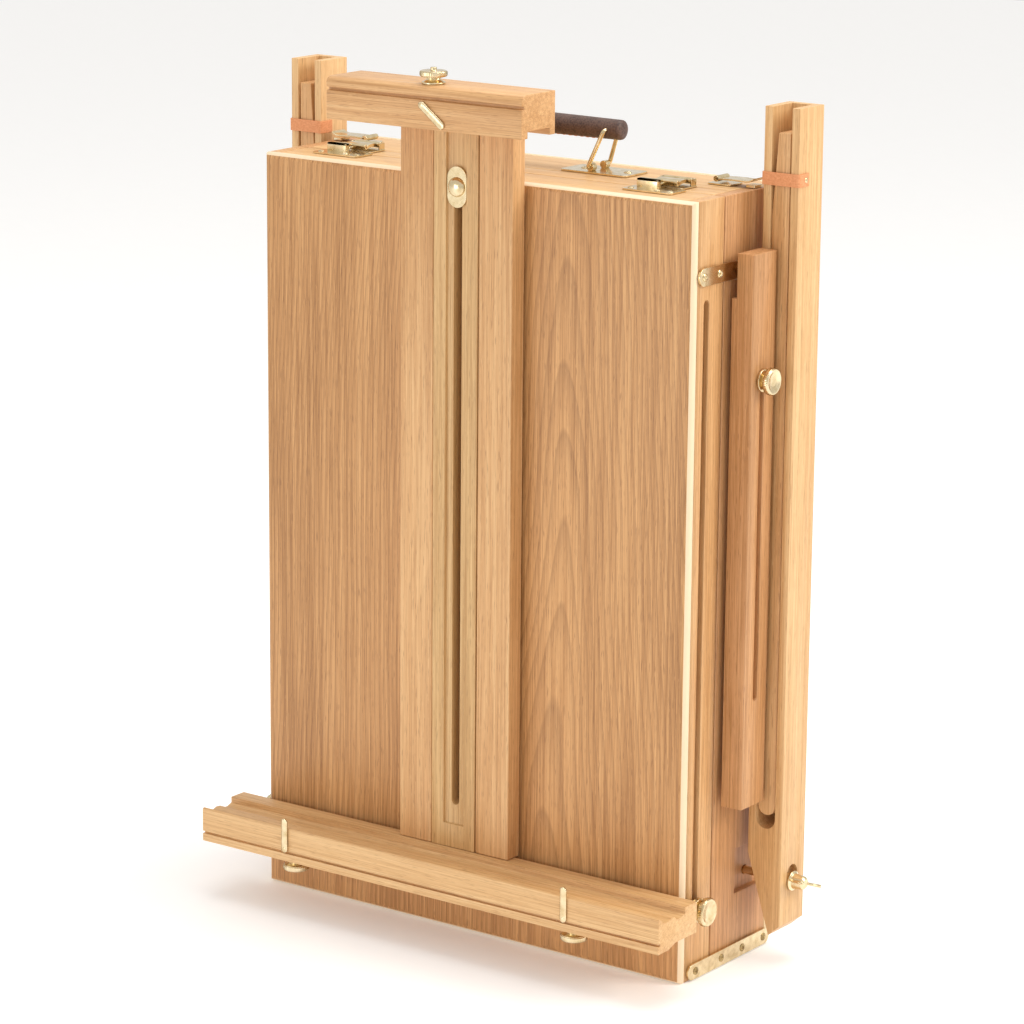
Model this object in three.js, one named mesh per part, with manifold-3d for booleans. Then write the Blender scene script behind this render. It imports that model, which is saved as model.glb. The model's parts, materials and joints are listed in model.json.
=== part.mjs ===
// Box easel, closed: a wooden case with a hinged lid, a drawer, three folding legs, two telescopic lid
// stays, and a canvas carrier (tray, mast and top clamp) that slides on the lid.
// Millimetres. +Z is up along the case, -Y is the canvas side, +X is to the right of someone facing it.
// The origin is the middle of the case's underside, on the end board.
import * as THREE from "three";
import { mergeVertices } from "three/addons/utils/BufferGeometryUtils.js";
import Module from "manifold-3d";

const wasm = await Module();
wasm.setup();

// ---- driving dimensions ----
const FIT = 0.3; // gap between pieces that touch
const RUN = 0.4; // radial clearance of a bolt or pin in its hole

const CASE = { width: 382, depth: 120, height: 570, wall: 10, back: 6, endBoard: 12 };
const LID = { depth: 39.5, split: 1.5, panel: 7, edge: 4.5 };
const FRONT_RAIL = 21; // depth of the fixed rail at the handle end
const PALETTE = { thickness: 5, inset: 3, margin: 2, corner: 30, thumb: 16 };
const LEDGE = { height: 4.7, width: 6, short: 8 };
const DRAWER = { wall: 6, floor: 4, length: 485, side: 2.5, play: 0.6, partition: 4 };

const STRAP = { height: 12, thickness: 2, front: 9, end: 2, pin: 2, head: 2.9 };
const HINGE = { fromFront: 19, z: 6.2 };
const SLOT = { width: 6.5, bottom: 46, top: 499.5 };

const TRAY = { overhang: 19, off: 7, depth: 49, bottom: 43.7, top: 70, lip: 4.5, groove: 2, grooveUp: 5.8 };
const TRAY_FOOT = { flat: 13, slope: 22, rise: 3.2 };
const BRACKET = { thickness: 1.8, end: 9, flange: 14 };
const CARRIER_KNOB = { z: 53, bolt: 2.6, scale: 1.08 };

const MAST = { width: 100, thickness: 14.6, off: 2.4, rail: 29.6, top: 622, joint: 1 };
const SLAT = { thickness: 12.1, groove: 18, grooveDepth: 2.5, slot: 6.8, slotBottom: 103 };
const MAST_BOLT = { z: 564.5, radius: 3, washerWidth: 17, washerHeight: 30, bridge: 64, bridgeHeight: 23 };
const CLAMP = { width: 172, depth: 39.7, bottom: 610.4, top: 641, fascia: 7.3, rearLip: 6.2, recess: 5 };
const CLAMP_GROOVE = { z: 631, height: 2.4, depth: 3 };

const CLIP = { width: 5.4, thickness: 1.2, length: 27, off: 0.6, pin: 1.6, pinDepth: 7, x: 128.5 };
const CLIP_UP = { tray: 9.7, clamp: 16.9 };
const NUT = { disc: 10, discHeight: 4, neck: 5.2, neckHeight: 3.2, flange: 8.5, flangeHeight: 2, bolt: 2.3 };
const NUT_BEHIND_FASCIA = 13;

const STAY = { width: 17.5, depth: 29.8, bottom: 125, top: 530, off: 4, cavity: 20.6, web: 6.2 };
const STAY_SLAT = { thickness: 9.6, play: 0.5, top: 452 };
const STAY_SLOT = { width: 5.4, bottom: 204, top: 443 };
const STAY_PIN = { z: 516.8, radius: 2.5 };
const STAY_PLATE = { height: 13, thickness: 2, front: 6, rear: 6, off: 0.6 };
const STAY_KNOB = { z: 439, bolt: 2.3 };
const STAY_PIVOT_Z = 140;

const LEG = { width: 28.8, depth: 31.5, top: 630, off: 7.5, gap: 2.6, bottom: 30.5, tip: 22, taper: 83 };
const CHANNEL = { width: 16, back: 6, bottom: 103 };
const FOOT = { play: 0.6, bottom: 113, top: 612, neck: 4, neckLength: 58 };
const LEG_PIVOT = { z: 62, bolt: 3, recess: 6.8, recessTop: 5.6, recessDepth: 5 };
const LEG_NOTCH = { ahead: 5, bottom: 50, top: 84, depth: 5 };
const REAR_LEG = { bottom: 20, pivot: 530, below: 22, above: 34, roof: 11, cheek: 10 };
const WING = { hub: 6.2, hubLength: 12, flange: 7.6, tip: 19, thickness: 2.4, reach: 15, lean: 70 };

const LATCH = { fromSide: 52, width: 42, strikeDepth: 21, base: 1.2 };
const CATCH = { off: 6.5, width: 18, depth: 8, height: 7, back: 2 };
const LEVER = { width: 24, length: 18.5, thickness: 1.6, barrel: 2.2, rise: 4.2 };
const DRAWER_LEVER = { fromSide: 33, back: 24, length: 32, width: 15, thick: 1.6, barrel: 2.2, rise: 4.2 };
const HANDLE = { foot: 57, top: 68, back: 16.5, footSpan: 28, topSpan: 19.6, height: 31.5, wire: 1.6 };
const HANDLE_PLATE = { length: 58, width: 30, thickness: 1.5, fromFoot: 24, knuckle: 5, knuckleLength: 5 };
const GRIP = { length: 158, radius: 7.5, slot: 3 };

// ---- planes worked out from them ----
const frontY = -CASE.depth / 2;
const rearY = CASE.depth / 2;
const sideX = CASE.width / 2;
const innerX = sideX - CASE.wall;
const lidBackY = frontY + LID.depth;
const bodyY = lidBackY + LID.split;
const backPanelY = rearY - CASE.back;
const railEndY = bodyY + FRONT_RAIL;
const topInnerZ = CASE.height - CASE.endBoard;
const hingeY = frontY + HINGE.fromFront;
const frameY = frontY + LID.panel + FIT;
const topZ = CASE.height + FIT;
const handleY = railEndY + HANDLE.back;
const trayRearY = frontY - TRAY.off;
const fasciaY = trayRearY - TRAY.depth;
const mastY = [frontY - MAST.off - MAST.thickness, frontY - MAST.off];
const clampRearY = mastY[0] - FIT;
const clampFrontY = clampRearY - CLAMP.depth;
const stayX = [sideX + STAY.off, sideX + STAY.off + STAY.width];
const stayY = 0;
const legX = [sideX + LEG.off, sideX + LEG.off + LEG.width];
const legFrontY = stayY + STAY.depth / 2 + LEG.gap;
const trayClipZ = TRAY.bottom + CLIP_UP.tray;
const clampClipZ = CLAMP.bottom + CLIP_UP.clamp;

// ---- shapes and solids ----
const BASIS = {
  x: [new THREE.Vector3(0, 1, 0), new THREE.Vector3(0, 0, 1), new THREE.Vector3(1, 0, 0)],
  y: [new THREE.Vector3(1, 0, 0), new THREE.Vector3(0, 0, 1), new THREE.Vector3(0, -1, 0)],
  z: [new THREE.Vector3(1, 0, 0), new THREE.Vector3(0, 1, 0), new THREE.Vector3(0, 0, 1)],
};
const DISC_STEPS = 7;

/** Turns a closed three.js geometry into a manifold solid. */
function solid(geometry) {
  const bare = new THREE.BufferGeometry();
  bare.setAttribute("position", geometry.getAttribute("position"));
  if (geometry.index) bare.setIndex(geometry.index);
  const merged = mergeVertices(bare, 1e-4);
  return new wasm.Manifold(
    new wasm.Mesh({
      numProp: 3,
      vertProperties: new Float32Array(merged.attributes.position.array),
      triVerts: new Uint32Array(merged.index.array),
    }),
  );
}

/** A block between two limits on each axis, given in either order. */
function block(x, y, z) {
  const size = [x, y, z].map(([a, b]) => Math.abs(b - a));
  const middle = [x, y, z].map(([a, b]) => (a + b) / 2);
  return solid(new THREE.BoxGeometry(...size).translate(...middle));
}

/** An outline carried along an axis. Its plane is (y, z) along x, (x, z) along y and (x, y) along z. */
function prism(axis, shape, a, b) {
  const from = Math.min(a, b);
  const to = Math.max(a, b);
  const geometry = new THREE.ExtrudeGeometry(shape, {
    depth: to - from,
    bevelEnabled: false,
    curveSegments: DISC_STEPS,
  });
  const place = new THREE.Matrix4().makeBasis(...BASIS[axis]);
  const start = { x: [from, 0, 0], y: [0, to, 0], z: [0, 0, from] }[axis];
  return solid(geometry.applyMatrix4(place.setPosition(...start)));
}

function outline(points) {
  return new THREE.Shape(points.map(([u, v]) => new THREE.Vector2(u, v)));
}

function disc(u, v, radius) {
  return new THREE.Shape().absarc(u, v, radius, 0, 2 * Math.PI, false);
}

/** A stadium: a straight run from one end centre to the other with round ends. */
function stadium(u0, v0, u1, v1, radius) {
  const turn = Math.atan2(v1 - v0, u1 - u0);
  const shape = new THREE.Shape();
  shape.absarc(u0, v0, radius, turn + Math.PI / 2, turn + (3 * Math.PI) / 2, false);
  shape.absarc(u1, v1, radius, turn - Math.PI / 2, turn + Math.PI / 2, false);
  return shape;
}

const rod = (axis, u, v, radius, a, b) => prism(axis, disc(u, v, radius), a, b);

/** A turned piece about +Z from its foot at 0: rows of [radius, height] from the axis back to the axis. */
function turned(rows) {
  const points = rows.map(([radius, height]) => new THREE.Vector2(radius, height));
  return solid(new THREE.LatheGeometry(points, 2 * DISC_STEPS + 4).rotateX(Math.PI / 2));
}

/** A round wire through a list of points, with a ball at each bend and end. */
function wire(points, radius) {
  const spots = points.map((p) => new THREE.Vector3(...p));
  let whole = null;
  for (const spot of spots) {
    const ball = solid(new THREE.SphereGeometry(radius, 10, 6).translate(spot.x, spot.y, spot.z));
    whole = whole ? whole.add(ball) : ball;
  }
  for (let i = 1; i < spots.length; i += 1) {
    const run = spots[i].clone().sub(spots[i - 1]);
    const turn = new THREE.Quaternion().setFromUnitVectors(
      new THREE.Vector3(0, 1, 0),
      run.clone().normalize(),
    );
    const middle = spots[i].clone().add(spots[i - 1]).multiplyScalar(0.5);
    const bar = new THREE.CylinderGeometry(radius, radius, run.length(), 10);
    bar.applyQuaternion(turn).translate(middle.x, middle.y, middle.z);
    whole = whole.add(solid(bar));
  }
  return whole;
}

/** Turns a solid about an axis through the origin, by an angle in radians. */
function turn(shape, axis, angle) {
  const matrix = new THREE.Matrix4().makeRotationAxis(axis, angle);
  return shape.transform(matrix.elements);
}
const X_AXIS = new THREE.Vector3(1, 0, 0);
const Y_AXIS = new THREE.Vector3(0, 1, 0);

/** A turned piece laid along X, its foot at 0, growing outwards on the given side. */
const turnedOutwards = (rows, side) => turn(turned(rows), Y_AXIS, (side * Math.PI) / 2);

const both = (low, high, side) => [side * low, side * high];

// ---- materials ----
const finish = (color, roughness, metalness = 0) =>
  new THREE.MeshStandardMaterial({ color, roughness, metalness });
const BEECH = finish("#cf9a63", 0.5);
const PANEL_VENEER = finish("#b06a38", 0.5);
const SLAT_WOOD = finish("#d3a15f", 0.5);
const PLYWOOD = finish("#dcc096", 0.6);
const BRASS = finish("#d6b778", 0.3, 1);
const LEATHER = finish("#3c2723", 0.55);

const easel = new THREE.Group();

/** Adds one named piece. Its solid is drawn about the point where it is placed. */
function piece(name, shape, material, at = [0, 0, 0]) {
  const { vertProperties, triVerts } = shape.getMesh();
  const geometry = new THREE.BufferGeometry();
  geometry.setAttribute("position", new THREE.BufferAttribute(vertProperties, 3));
  geometry.setIndex(new THREE.BufferAttribute(triVerts, 1));
  geometry.computeVertexNormals();
  const mesh = new THREE.Mesh(geometry, material);
  mesh.name = name;
  mesh.position.set(...at);
  easel.add(mesh);
}

const SIDES = { left: -1, right: 1 };
const eachSide = (build) => Object.entries(SIDES).forEach(([word, side]) => build(side, word));

// ---- case ----
const legPivotY = legFrontY + LEG.depth / 2;

function boxSide(side) {
  const y = [bodyY, backPanelY - FIT];
  let board = block(both(innerX, sideX, side), y, [0, CASE.height]);
  const ledgeY = [paletteY[1] + FIT, paletteY[1] + FIT + LEDGE.height];
  const ledge = block(both(innerX - LEDGE.width, innerX + 1, side), ledgeY, [
    CASE.endBoard + LEDGE.short,
    topInnerZ - LEDGE.short,
  ]);
  board = board.add(ledge);
  const notch = block(
    both(sideX - LEG_NOTCH.depth, sideX + 1, side),
    [legFrontY - LEG_NOTCH.ahead, backPanelY],
    [LEG_NOTCH.bottom, LEG_NOTCH.top],
  );
  const hole = rod("x", legPivotY, LEG_PIVOT.z, LEG_PIVOT.bolt + RUN, ...both(innerX - 1, sideX + 1, side));
  return board.subtract(notch).subtract(hole);
}

const paletteY = [bodyY + PALETTE.inset, bodyY + PALETTE.inset + PALETTE.thickness];

function paletteBoard() {
  const halfWidth = innerX - PALETTE.margin;
  const low = CASE.endBoard + PALETTE.margin;
  const high = topInnerZ - PALETTE.margin;
  const inset = PALETTE.corner;
  const sheet = outline([
    [-halfWidth, low],
    [halfWidth, low],
    [halfWidth, high - inset],
    [halfWidth - inset, high],
    [-halfWidth + inset, high],
    [-halfWidth, high - inset],
  ]);
  const grip = stadium(halfWidth / 2, high - 60, halfWidth / 2 + 26, high - 76, PALETTE.thumb);
  return prism("y", sheet, ...paletteY).subtract(prism("y", grip, paletteY[0] - 1, paletteY[1] + 1));
}

/** A brass strap screwed to the box side; its front screw is the pin that the lid turns on. */
function hingeStrap(side) {
  const face = both(sideX + FIT, sideX + FIT + STRAP.thickness, side);
  const half = STRAP.height / 2;
  const plate = stadium(
    frontY + STRAP.front + half, HINGE.z,
    rearY - STRAP.end - half, HINGE.z,
    half,
  );
  let strap = prism("x", plate, ...face);
  for (const y of [hingeY, bodyY + 12.2, bodyY + 40.2, bodyY + 69]) {
    strap = strap.add(rod("x", y, HINGE.z, STRAP.head, face[0], face[1] + side * 0.9));
  }
  return strap.add(rod("x", hingeY, HINGE.z, STRAP.pin, side * (innerX + 3), face[0] + side));
}

eachSide((side, word) => {
  piece(`box_side_${word}`, boxSide(side), BEECH);
  piece(`hinge_strap_${word}`, hingeStrap(side), BRASS);
});
const betweenSides = [-innerX + FIT, innerX - FIT];
piece("box_end_board", block(betweenSides, [bodyY, backPanelY - FIT], [0, CASE.endBoard]), BEECH);
piece("box_front_rail", block(betweenSides, [bodyY, railEndY], [topInnerZ, CASE.height]), BEECH);
piece("box_back_panel", block([-sideX, sideX], [backPanelY, rearY], [0, CASE.height]), PLYWOOD);
piece("palette", paletteBoard(), PLYWOOD);

// ---- lid ----
function lidPanel() {
  const edge = LID.edge;
  const face = outline([
    [-sideX, 0],
    [sideX, 0],
    [sideX, CASE.height],
    [-sideX, CASE.height],
  ]);
  const geometry = new THREE.ExtrudeGeometry(face, {
    depth: 2 * LID.panel - edge,
    bevelSize: edge,
    bevelOffset: -edge,
    bevelThickness: edge,
    bevelSegments: 3,
  });
  const place = new THREE.Matrix4().makeBasis(...BASIS.y).setPosition(0, frontY + 2 * LID.panel, 0);
  const whole = solid(geometry.applyMatrix4(place));
  const span = CASE.height;
  return whole.intersect(block([-span, span], [frontY - 1, frontY + LID.panel], [-span, 2 * span]));
}

function lidSide(side) {
  const frame = block(both(innerX, sideX, side), [frameY, lidBackY], [0, CASE.height]);
  const through = both(innerX - 1, sideX + 1, side);
  const half = SLOT.width / 2;
  const slot = prism("x", stadium(hingeY, SLOT.bottom + half, hingeY, SLOT.top - half, half), ...through);
  const pinHole = rod("x", hingeY, HINGE.z, STRAP.pin + RUN, ...through);
  return frame.subtract(slot).subtract(pinHole);
}

/** A plate screwed to the lid side, with the pin that the stay's outer bar turns on. */
function stayPlate(side) {
  const near = sideX + STAY_PLATE.off;
  const face = both(near, near + STAY_PLATE.thickness, side);
  const half = STAY_PLATE.height / 2;
  const plate = stadium(
    frontY + STAY_PLATE.front + half, STAY_PIN.z,
    stayY + STAY_PLATE.rear - half, STAY_PIN.z,
    half,
  );
  let whole = prism("x", plate, ...face);
  for (const y of [frontY + 12.5, frontY + 31.6]) {
    whole = whole.add(rod("x", y, STAY_PIN.z, STRAP.head, face[0], face[1] + side * 0.9));
  }
  const pinEnd = side * (stayX[1] - STAY.web - 2);
  return whole.add(rod("x", stayY, STAY_PIN.z, STAY_PIN.radius, face[0], pinEnd));
}

const latchX = (side) => side * (sideX - LATCH.fromSide);

function latchStrike(side) {
  const x = latchX(side);
  const half = LATCH.width / 2;
  const y = [lidBackY - FIT - LATCH.strikeDepth, lidBackY - FIT];
  const top = topZ + LATCH.base;
  const catchX = [x - CATCH.off - CATCH.width / 2, x - CATCH.off + CATCH.width / 2];
  const catchY = [y[1] - CATCH.back - CATCH.depth, y[1] - CATCH.back];
  return block([x - half, x + half], y, [topZ, top]).add(
    block(catchX, catchY, [topZ, top + CATCH.height]),
  );
}

piece("lid_panel", lidPanel(), PANEL_VENEER);
const lidFrameY = [frameY, lidBackY];
piece("lid_top_rail", block(betweenSides, lidFrameY, [CASE.height - CASE.wall, CASE.height]), BEECH);
piece("lid_bottom_rail", block(betweenSides, lidFrameY, [0, CASE.wall]), BEECH);
eachSide((side, word) => {
  piece(`lid_side_${word}`, lidSide(side), BEECH);
  piece(`stay_plate_${word}`, stayPlate(side), BRASS);
  piece(`latch_strike_${word}`, latchStrike(side), BRASS);
});

/** A lid latch lever, drawn about its barrel, lying forwards over its base. */
function latchLever() {
  const half = LEVER.width / 2;
  const arm = block(
    [-half, half],
    [-LEVER.length, 0],
    [-LEVER.thickness / 2, LEVER.thickness / 2],
  );
  const tip = block(
    [-half, half],
    [-LEVER.length, -LEVER.length + LEVER.thickness],
    [0, LEVER.rise - LEVER.thickness],
  );
  return rod("x", 0, 0, LEVER.barrel, -half, half).add(arm).add(tip);
}
const leverPivot = { y: railEndY - LEVER.barrel - FIT, z: topZ + LEVER.rise };
eachSide((side, word) => {
  piece(`latch_lever_${word}`, latchLever(), BRASS, [latchX(side), leverPivot.y, leverPivot.z]);
});

// ---- drawer and handle ----
const drawerY = [railEndY + DRAWER.play, backPanelY - DRAWER.play];
const drawerX = innerX - DRAWER.play;

function drawerTray() {
  const outer = drawerX - DRAWER.side;
  const inner = outer - DRAWER.wall;
  const top = topInnerZ - FIT;
  const bottom = top - DRAWER.length;
  const hollowY = [drawerY[0] - 1, drawerY[1] - DRAWER.floor];
  const hollowZ = [bottom + DRAWER.wall, top - DRAWER.wall];
  const middleZ = (hollowZ[0] + hollowZ[1]) / 2;
  const shell = block([-outer, outer], drawerY, [bottom, top]);
  const hollow = block([-inner, inner], hollowY, hollowZ);
  const half = DRAWER.partition / 2;
  const wallY = [drawerY[0] + 4, drawerY[1] - 1];
  const long = block([inner / 3 - half, inner / 3 + half], wallY, [bottom + 1, top - 1]);
  const across = block([-inner - 1, inner / 3], wallY, [middleZ - half, middleZ + half]);
  return shell.subtract(hollow).add(long).add(across);
}

/** A drawer latch lever, drawn about its barrel at the inner end and lying outwards. */
function drawerLever(side) {
  const half = DRAWER_LEVER.width / 2;
  const reach = side * DRAWER_LEVER.length;
  const y = [-half, half];
  const lift = DRAWER_LEVER.thick / 2;
  const arm = block([0, reach], y, [-lift, lift]);
  const tip = block([reach, reach - side * DRAWER_LEVER.thick], y, [0, DRAWER_LEVER.rise - 1]);
  return rod("y", 0, 0, DRAWER_LEVER.barrel, -half, half).add(arm).add(tip);
}

const bailZ = topZ + HANDLE_PLATE.thickness + HANDLE_PLATE.knuckle / 2;

/** A handle plate with two pierced knuckles that hold the bail's inturned ends. */
function handlePlate(side) {
  const x0 = HANDLE.foot - HANDLE_PLATE.fromFoot;
  const half = HANDLE_PLATE.width / 2;
  const plateZ = [topZ, topZ + HANDLE_PLATE.thickness];
  const y = [handleY - half, handleY + half];
  let plate = block(both(x0, x0 + HANDLE_PLATE.length, side), y, plateZ);
  const pin = HANDLE.footSpan / 2 - 3;
  const foot = side * HANDLE.foot;
  for (const way of [-1, 1]) {
    const ends = [handleY + way * (pin - HANDLE_PLATE.knuckleLength), handleY + way * pin];
    const ear = block(
      [foot - HANDLE_PLATE.knuckle / 2, foot + HANDLE_PLATE.knuckle / 2],
      ends,
      [topZ, bailZ + HANDLE_PLATE.knuckle / 2],
    );
    plate = plate.add(ear);
  }
  const bore = rod("y", foot, bailZ, HANDLE.wire + FIT, handleY - pin - 1, handleY + pin + 1);
  return plate.subtract(bore);
}

/** A bail of round wire, drawn about its foot, leaning outwards and narrowing to the grip. */
function handleBail(side) {
  const foot = HANDLE.footSpan / 2;
  const top = HANDLE.topSpan / 2;
  const lean = side * (HANDLE.top - HANDLE.foot);
  const rise = HANDLE.height - HANDLE_PLATE.thickness - HANDLE_PLATE.knuckle / 2;
  const pin = foot - 2.5 - HANDLE_PLATE.knuckleLength;
  return wire(
    [
      [0, -pin, 0],
      [0, -foot, 0],
      [lean, -top, rise],
      [lean, top, rise],
      [0, foot, 0],
      [0, pin, 0],
    ],
    HANDLE.wire,
  );
}

/** The grip, drawn about the middle, with a slot near each end for a bail's top bar. */
function handleGrip() {
  const half = GRIP.length / 2;
  let bar = rod("x", 0, 0, GRIP.radius, -half, half);
  for (const side of [-1, 1]) {
    const x = side * HANDLE.top;
    const slot = stadium(x - GRIP.slot / 2, 0, x + GRIP.slot / 2, 0, HANDLE.wire + RUN);
    bar = bar.subtract(prism("y", slot, -GRIP.radius - 1, GRIP.radius + 1));
  }
  return bar;
}

const drawerFront = block([-drawerX, drawerX], drawerY, [topInnerZ, CASE.height]);
piece("drawer_front", drawerFront, BEECH);
piece("drawer_tray", drawerTray(), PLYWOOD);
eachSide((side, word) => {
  piece(`drawer_lever_${word}`, drawerLever(side), BRASS, [
    side * (sideX - DRAWER_LEVER.fromSide),
    railEndY + DRAWER_LEVER.back,
    topZ + DRAWER_LEVER.rise,
  ]);
  piece(`handle_plate_${word}`, handlePlate(side), BRASS);
  piece(`handle_bail_${word}`, handleBail(side), BRASS, [side * HANDLE.foot, handleY, bailZ]);
});
piece("handle_grip", handleGrip(), LEATHER, [0, handleY, topZ + HANDLE.height]);

// ---- canvas carrier ----
const trayNutY = fasciaY + NUT_BEHIND_FASCIA;

/** Tray section, from the front lower edge round: fascia, shallow canvas channel, rear ledge, undercut. */
function trayBar() {
  const rear = trayRearY;
  const front = fasciaY;
  const groove = TRAY.bottom + TRAY.grooveUp;
  const section = outline([
    [front, TRAY.bottom],
    [front + TRAY_FOOT.flat, TRAY.bottom],
    [front + TRAY_FOOT.slope, TRAY.bottom + TRAY_FOOT.rise],
    [rear, TRAY.bottom + TRAY_FOOT.rise],
    [rear, TRAY.top],
    [rear - 15, TRAY.top],
    [rear - 15, TRAY.top - TRAY.lip],
    [rear - 20, TRAY.top - 6.3],
    [rear - 26, TRAY.top - 6],
    [front + 20.5, TRAY.top - 3.6],
    [front + 16, TRAY.top - 3.2],
    [front + 11, TRAY.top - 5],
    [front + 6.5, TRAY.top - 4.6],
    [front + 3, TRAY.top - 1],
    [front + 1.5, TRAY.top],
    [front, TRAY.top - 1],
    [front, groove + TRAY.groove],
    [front + 2.5, groove + TRAY.groove],
    [front + 2.5, groove],
    [front, groove],
  ]);
  let bar = prism("x", section, -sideX - TRAY.overhang, sideX + TRAY.overhang);
  for (const side of [-1, 1]) {
    const x = side * CLIP.x;
    bar = bar.subtract(rod("y", x, trayClipZ, CLIP.pin + RUN, fasciaY - 1, fasciaY + CLIP.pinDepth + 1));
    bar = bar.subtract(rod("z", x, trayNutY, NUT.bolt + RUN, TRAY.bottom - 1, trayClipZ - 3));
  }
  return bar;
}

/** An angle plate from the tray's rear face to the thumb knob in the lid's side slot. */
function trayBracket(side) {
  const y0 = trayRearY + FIT;
  const near = sideX + 1.3;
  const z = [CARRIER_KNOB.z - BRACKET.end, CARRIER_KNOB.z + BRACKET.end];
  const arm = block(both(near, near + BRACKET.thickness, side), [y0, hingeY], z);
  const eye = rod("x", hingeY, CARRIER_KNOB.z, BRACKET.end, ...both(near, near + BRACKET.thickness, side));
  const flange = block(
    both(near, near + BRACKET.flange, side),
    [y0, y0 + BRACKET.thickness],
    [TRAY.bottom + 4, z[1]],
  );
  const hole = rod("x", hingeY, CARRIER_KNOB.z, CARRIER_KNOB.bolt + RUN, ...both(near - 1, near + 9, side));
  return arm.add(eye).add(flange).subtract(hole);
}

/** A thumb knob with its bolt, drawn about the point where its flange starts. */
function thumbKnob(side, bolt, boltLength, scale = 1) {
  return turnedOutwards(
    [
      [0, -boltLength],
      [bolt, -boltLength],
      [bolt, 0],
      [NUT.flange * scale, 0],
      [NUT.flange * scale, 2.2],
      [NUT.neck, 3],
      [NUT.neck, 5],
      [NUT.disc * scale - 1, 5.4],
      [NUT.disc * scale, 6.4],
      [NUT.disc * scale, 8.6],
      [NUT.disc * scale - 1, 9.6],
      [NUT.neck, 10],
      [0, 8.6],
    ],
    side,
  );
}

const mastZ = [TRAY.top + FIT, MAST.top];
const slatX = [-MAST.width / 2 + MAST.rail + FIT, MAST.width / 2 - MAST.rail - MAST.joint];
const bridgeY = [mastY[1] - 2, mastY[1]];
const bridgeZ = [MAST_BOLT.z - MAST_BOLT.bridgeHeight / 2, MAST_BOLT.z + MAST_BOLT.bridgeHeight / 2];

function mastRail(side) {
  const edge = MAST.width / 2;
  const rail = block(both(edge - MAST.rail, edge, side), mastY, mastZ);
  const notch = block(
    both(edge - MAST.rail - 1, MAST_BOLT.bridge / 2 + FIT, side),
    [bridgeY[0] - FIT, bridgeY[1] + 1],
    [bridgeZ[0] - FIT, bridgeZ[1] + FIT],
  );
  return rail.subtract(notch);
}

function mastSlat() {
  const y = [mastY[0], mastY[0] + SLAT.thickness];
  const board = block(slatX, y, mastZ);
  const half = SLAT.slot / 2;
  const groove = block(
    [-SLAT.groove / 2, SLAT.groove / 2],
    [y[0] - 1, y[0] + SLAT.grooveDepth],
    [mastZ[0] + 18, CLAMP.bottom - 4],
  );
  const track = stadium(0, SLAT.slotBottom + half, 0, MAST_BOLT.z, half);
  return board.subtract(groove).subtract(prism("y", track, y[0] - 1, y[1] + 1));
}

/** The bolt that clamps the slat: bridge plate behind, oblong washer and domed head in front. */
function mastBolt() {
  const halfBridge = MAST_BOLT.bridge / 2;
  const bridge = block([-halfBridge, halfBridge], bridgeY, bridgeZ);
  const washerY = mastY[0] + SLAT.grooveDepth - FIT;
  const radius = MAST_BOLT.washerWidth / 2;
  const run = MAST_BOLT.washerHeight / 2 - radius;
  const washer = stadium(0, MAST_BOLT.z - run, 0, MAST_BOLT.z + run, radius);
  const head = turn(
    turned([
      [0, 0],
      [7, 0],
      [7, 1.2],
      [5, 2.8],
      [0, 3.6],
    ]),
    X_AXIS,
    Math.PI / 2,
  ).translate([0, washerY - 1, MAST_BOLT.z]);
  return bridge
    .add(rod("y", 0, MAST_BOLT.z, MAST_BOLT.radius, washerY - 1, bridgeY[1] - 1))
    .add(prism("y", washer, washerY - 1.5, washerY))
    .add(head);
}

/** Clamp section: fascia, groove, round-nosed top board, rear lip and the shallow canvas recess below. */
function clampHead() {
  const y0 = clampFrontY;
  const y1 = clampRearY;
  const groove = CLAMP_GROOVE;
  const section = outline([
    [y0, CLAMP.bottom],
    [y0 + CLAMP.fascia, CLAMP.bottom],
    [y0 + CLAMP.fascia, CLAMP.bottom + CLAMP.recess],
    [y1 - CLAMP.rearLip, CLAMP.bottom + CLAMP.recess],
    [y1 - CLAMP.rearLip, CLAMP.bottom],
    [y1, CLAMP.bottom],
    [y1, CLAMP.top],
    [y0 + 4.5, CLAMP.top],
    [y0 + 1.4, CLAMP.top - 1.2],
    [y0, CLAMP.top - 4],
    [y0, groove.z + groove.height],
    [y0 + groove.depth, groove.z + groove.height],
    [y0 + groove.depth, groove.z],
    [y0, groove.z],
  ]);
  const bar = prism("x", section, -CLAMP.width / 2, CLAMP.width / 2);
  const pinHole = rod("y", 0, clampClipZ, CLIP.pin + RUN, y0 - 1, y0 + CLIP.pinDepth + 1);
  const boltHole = rod("z", 0, y0 + NUT_BEHIND_FASCIA, NUT.bolt + RUN, clampClipZ + 3, CLAMP.top + 1);
  return bar.subtract(pinHole).subtract(boltHole);
}

/** A thumb nut with its bolt, drawn about the seat of its flange; it grows along +Z, its bolt goes down. */
function thumbNut(boltLength) {
  const neckTop = NUT.flangeHeight + NUT.neckHeight;
  return turned([
    [0, -boltLength],
    [NUT.bolt, -boltLength],
    [NUT.bolt, 0],
    [NUT.flange, 0],
    [NUT.flange, NUT.flangeHeight - 0.6],
    [NUT.neck, NUT.flangeHeight + 0.6],
    [NUT.neck, neckTop - 0.8],
    [NUT.disc, neckTop],
    [NUT.disc, neckTop + NUT.discHeight],
    [NUT.bolt, neckTop + NUT.discHeight + 0.2],
    [NUT.bolt, neckTop + NUT.discHeight + 2.5],
    [0, neckTop + NUT.discHeight + 2.5],
  ]);
}

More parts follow.
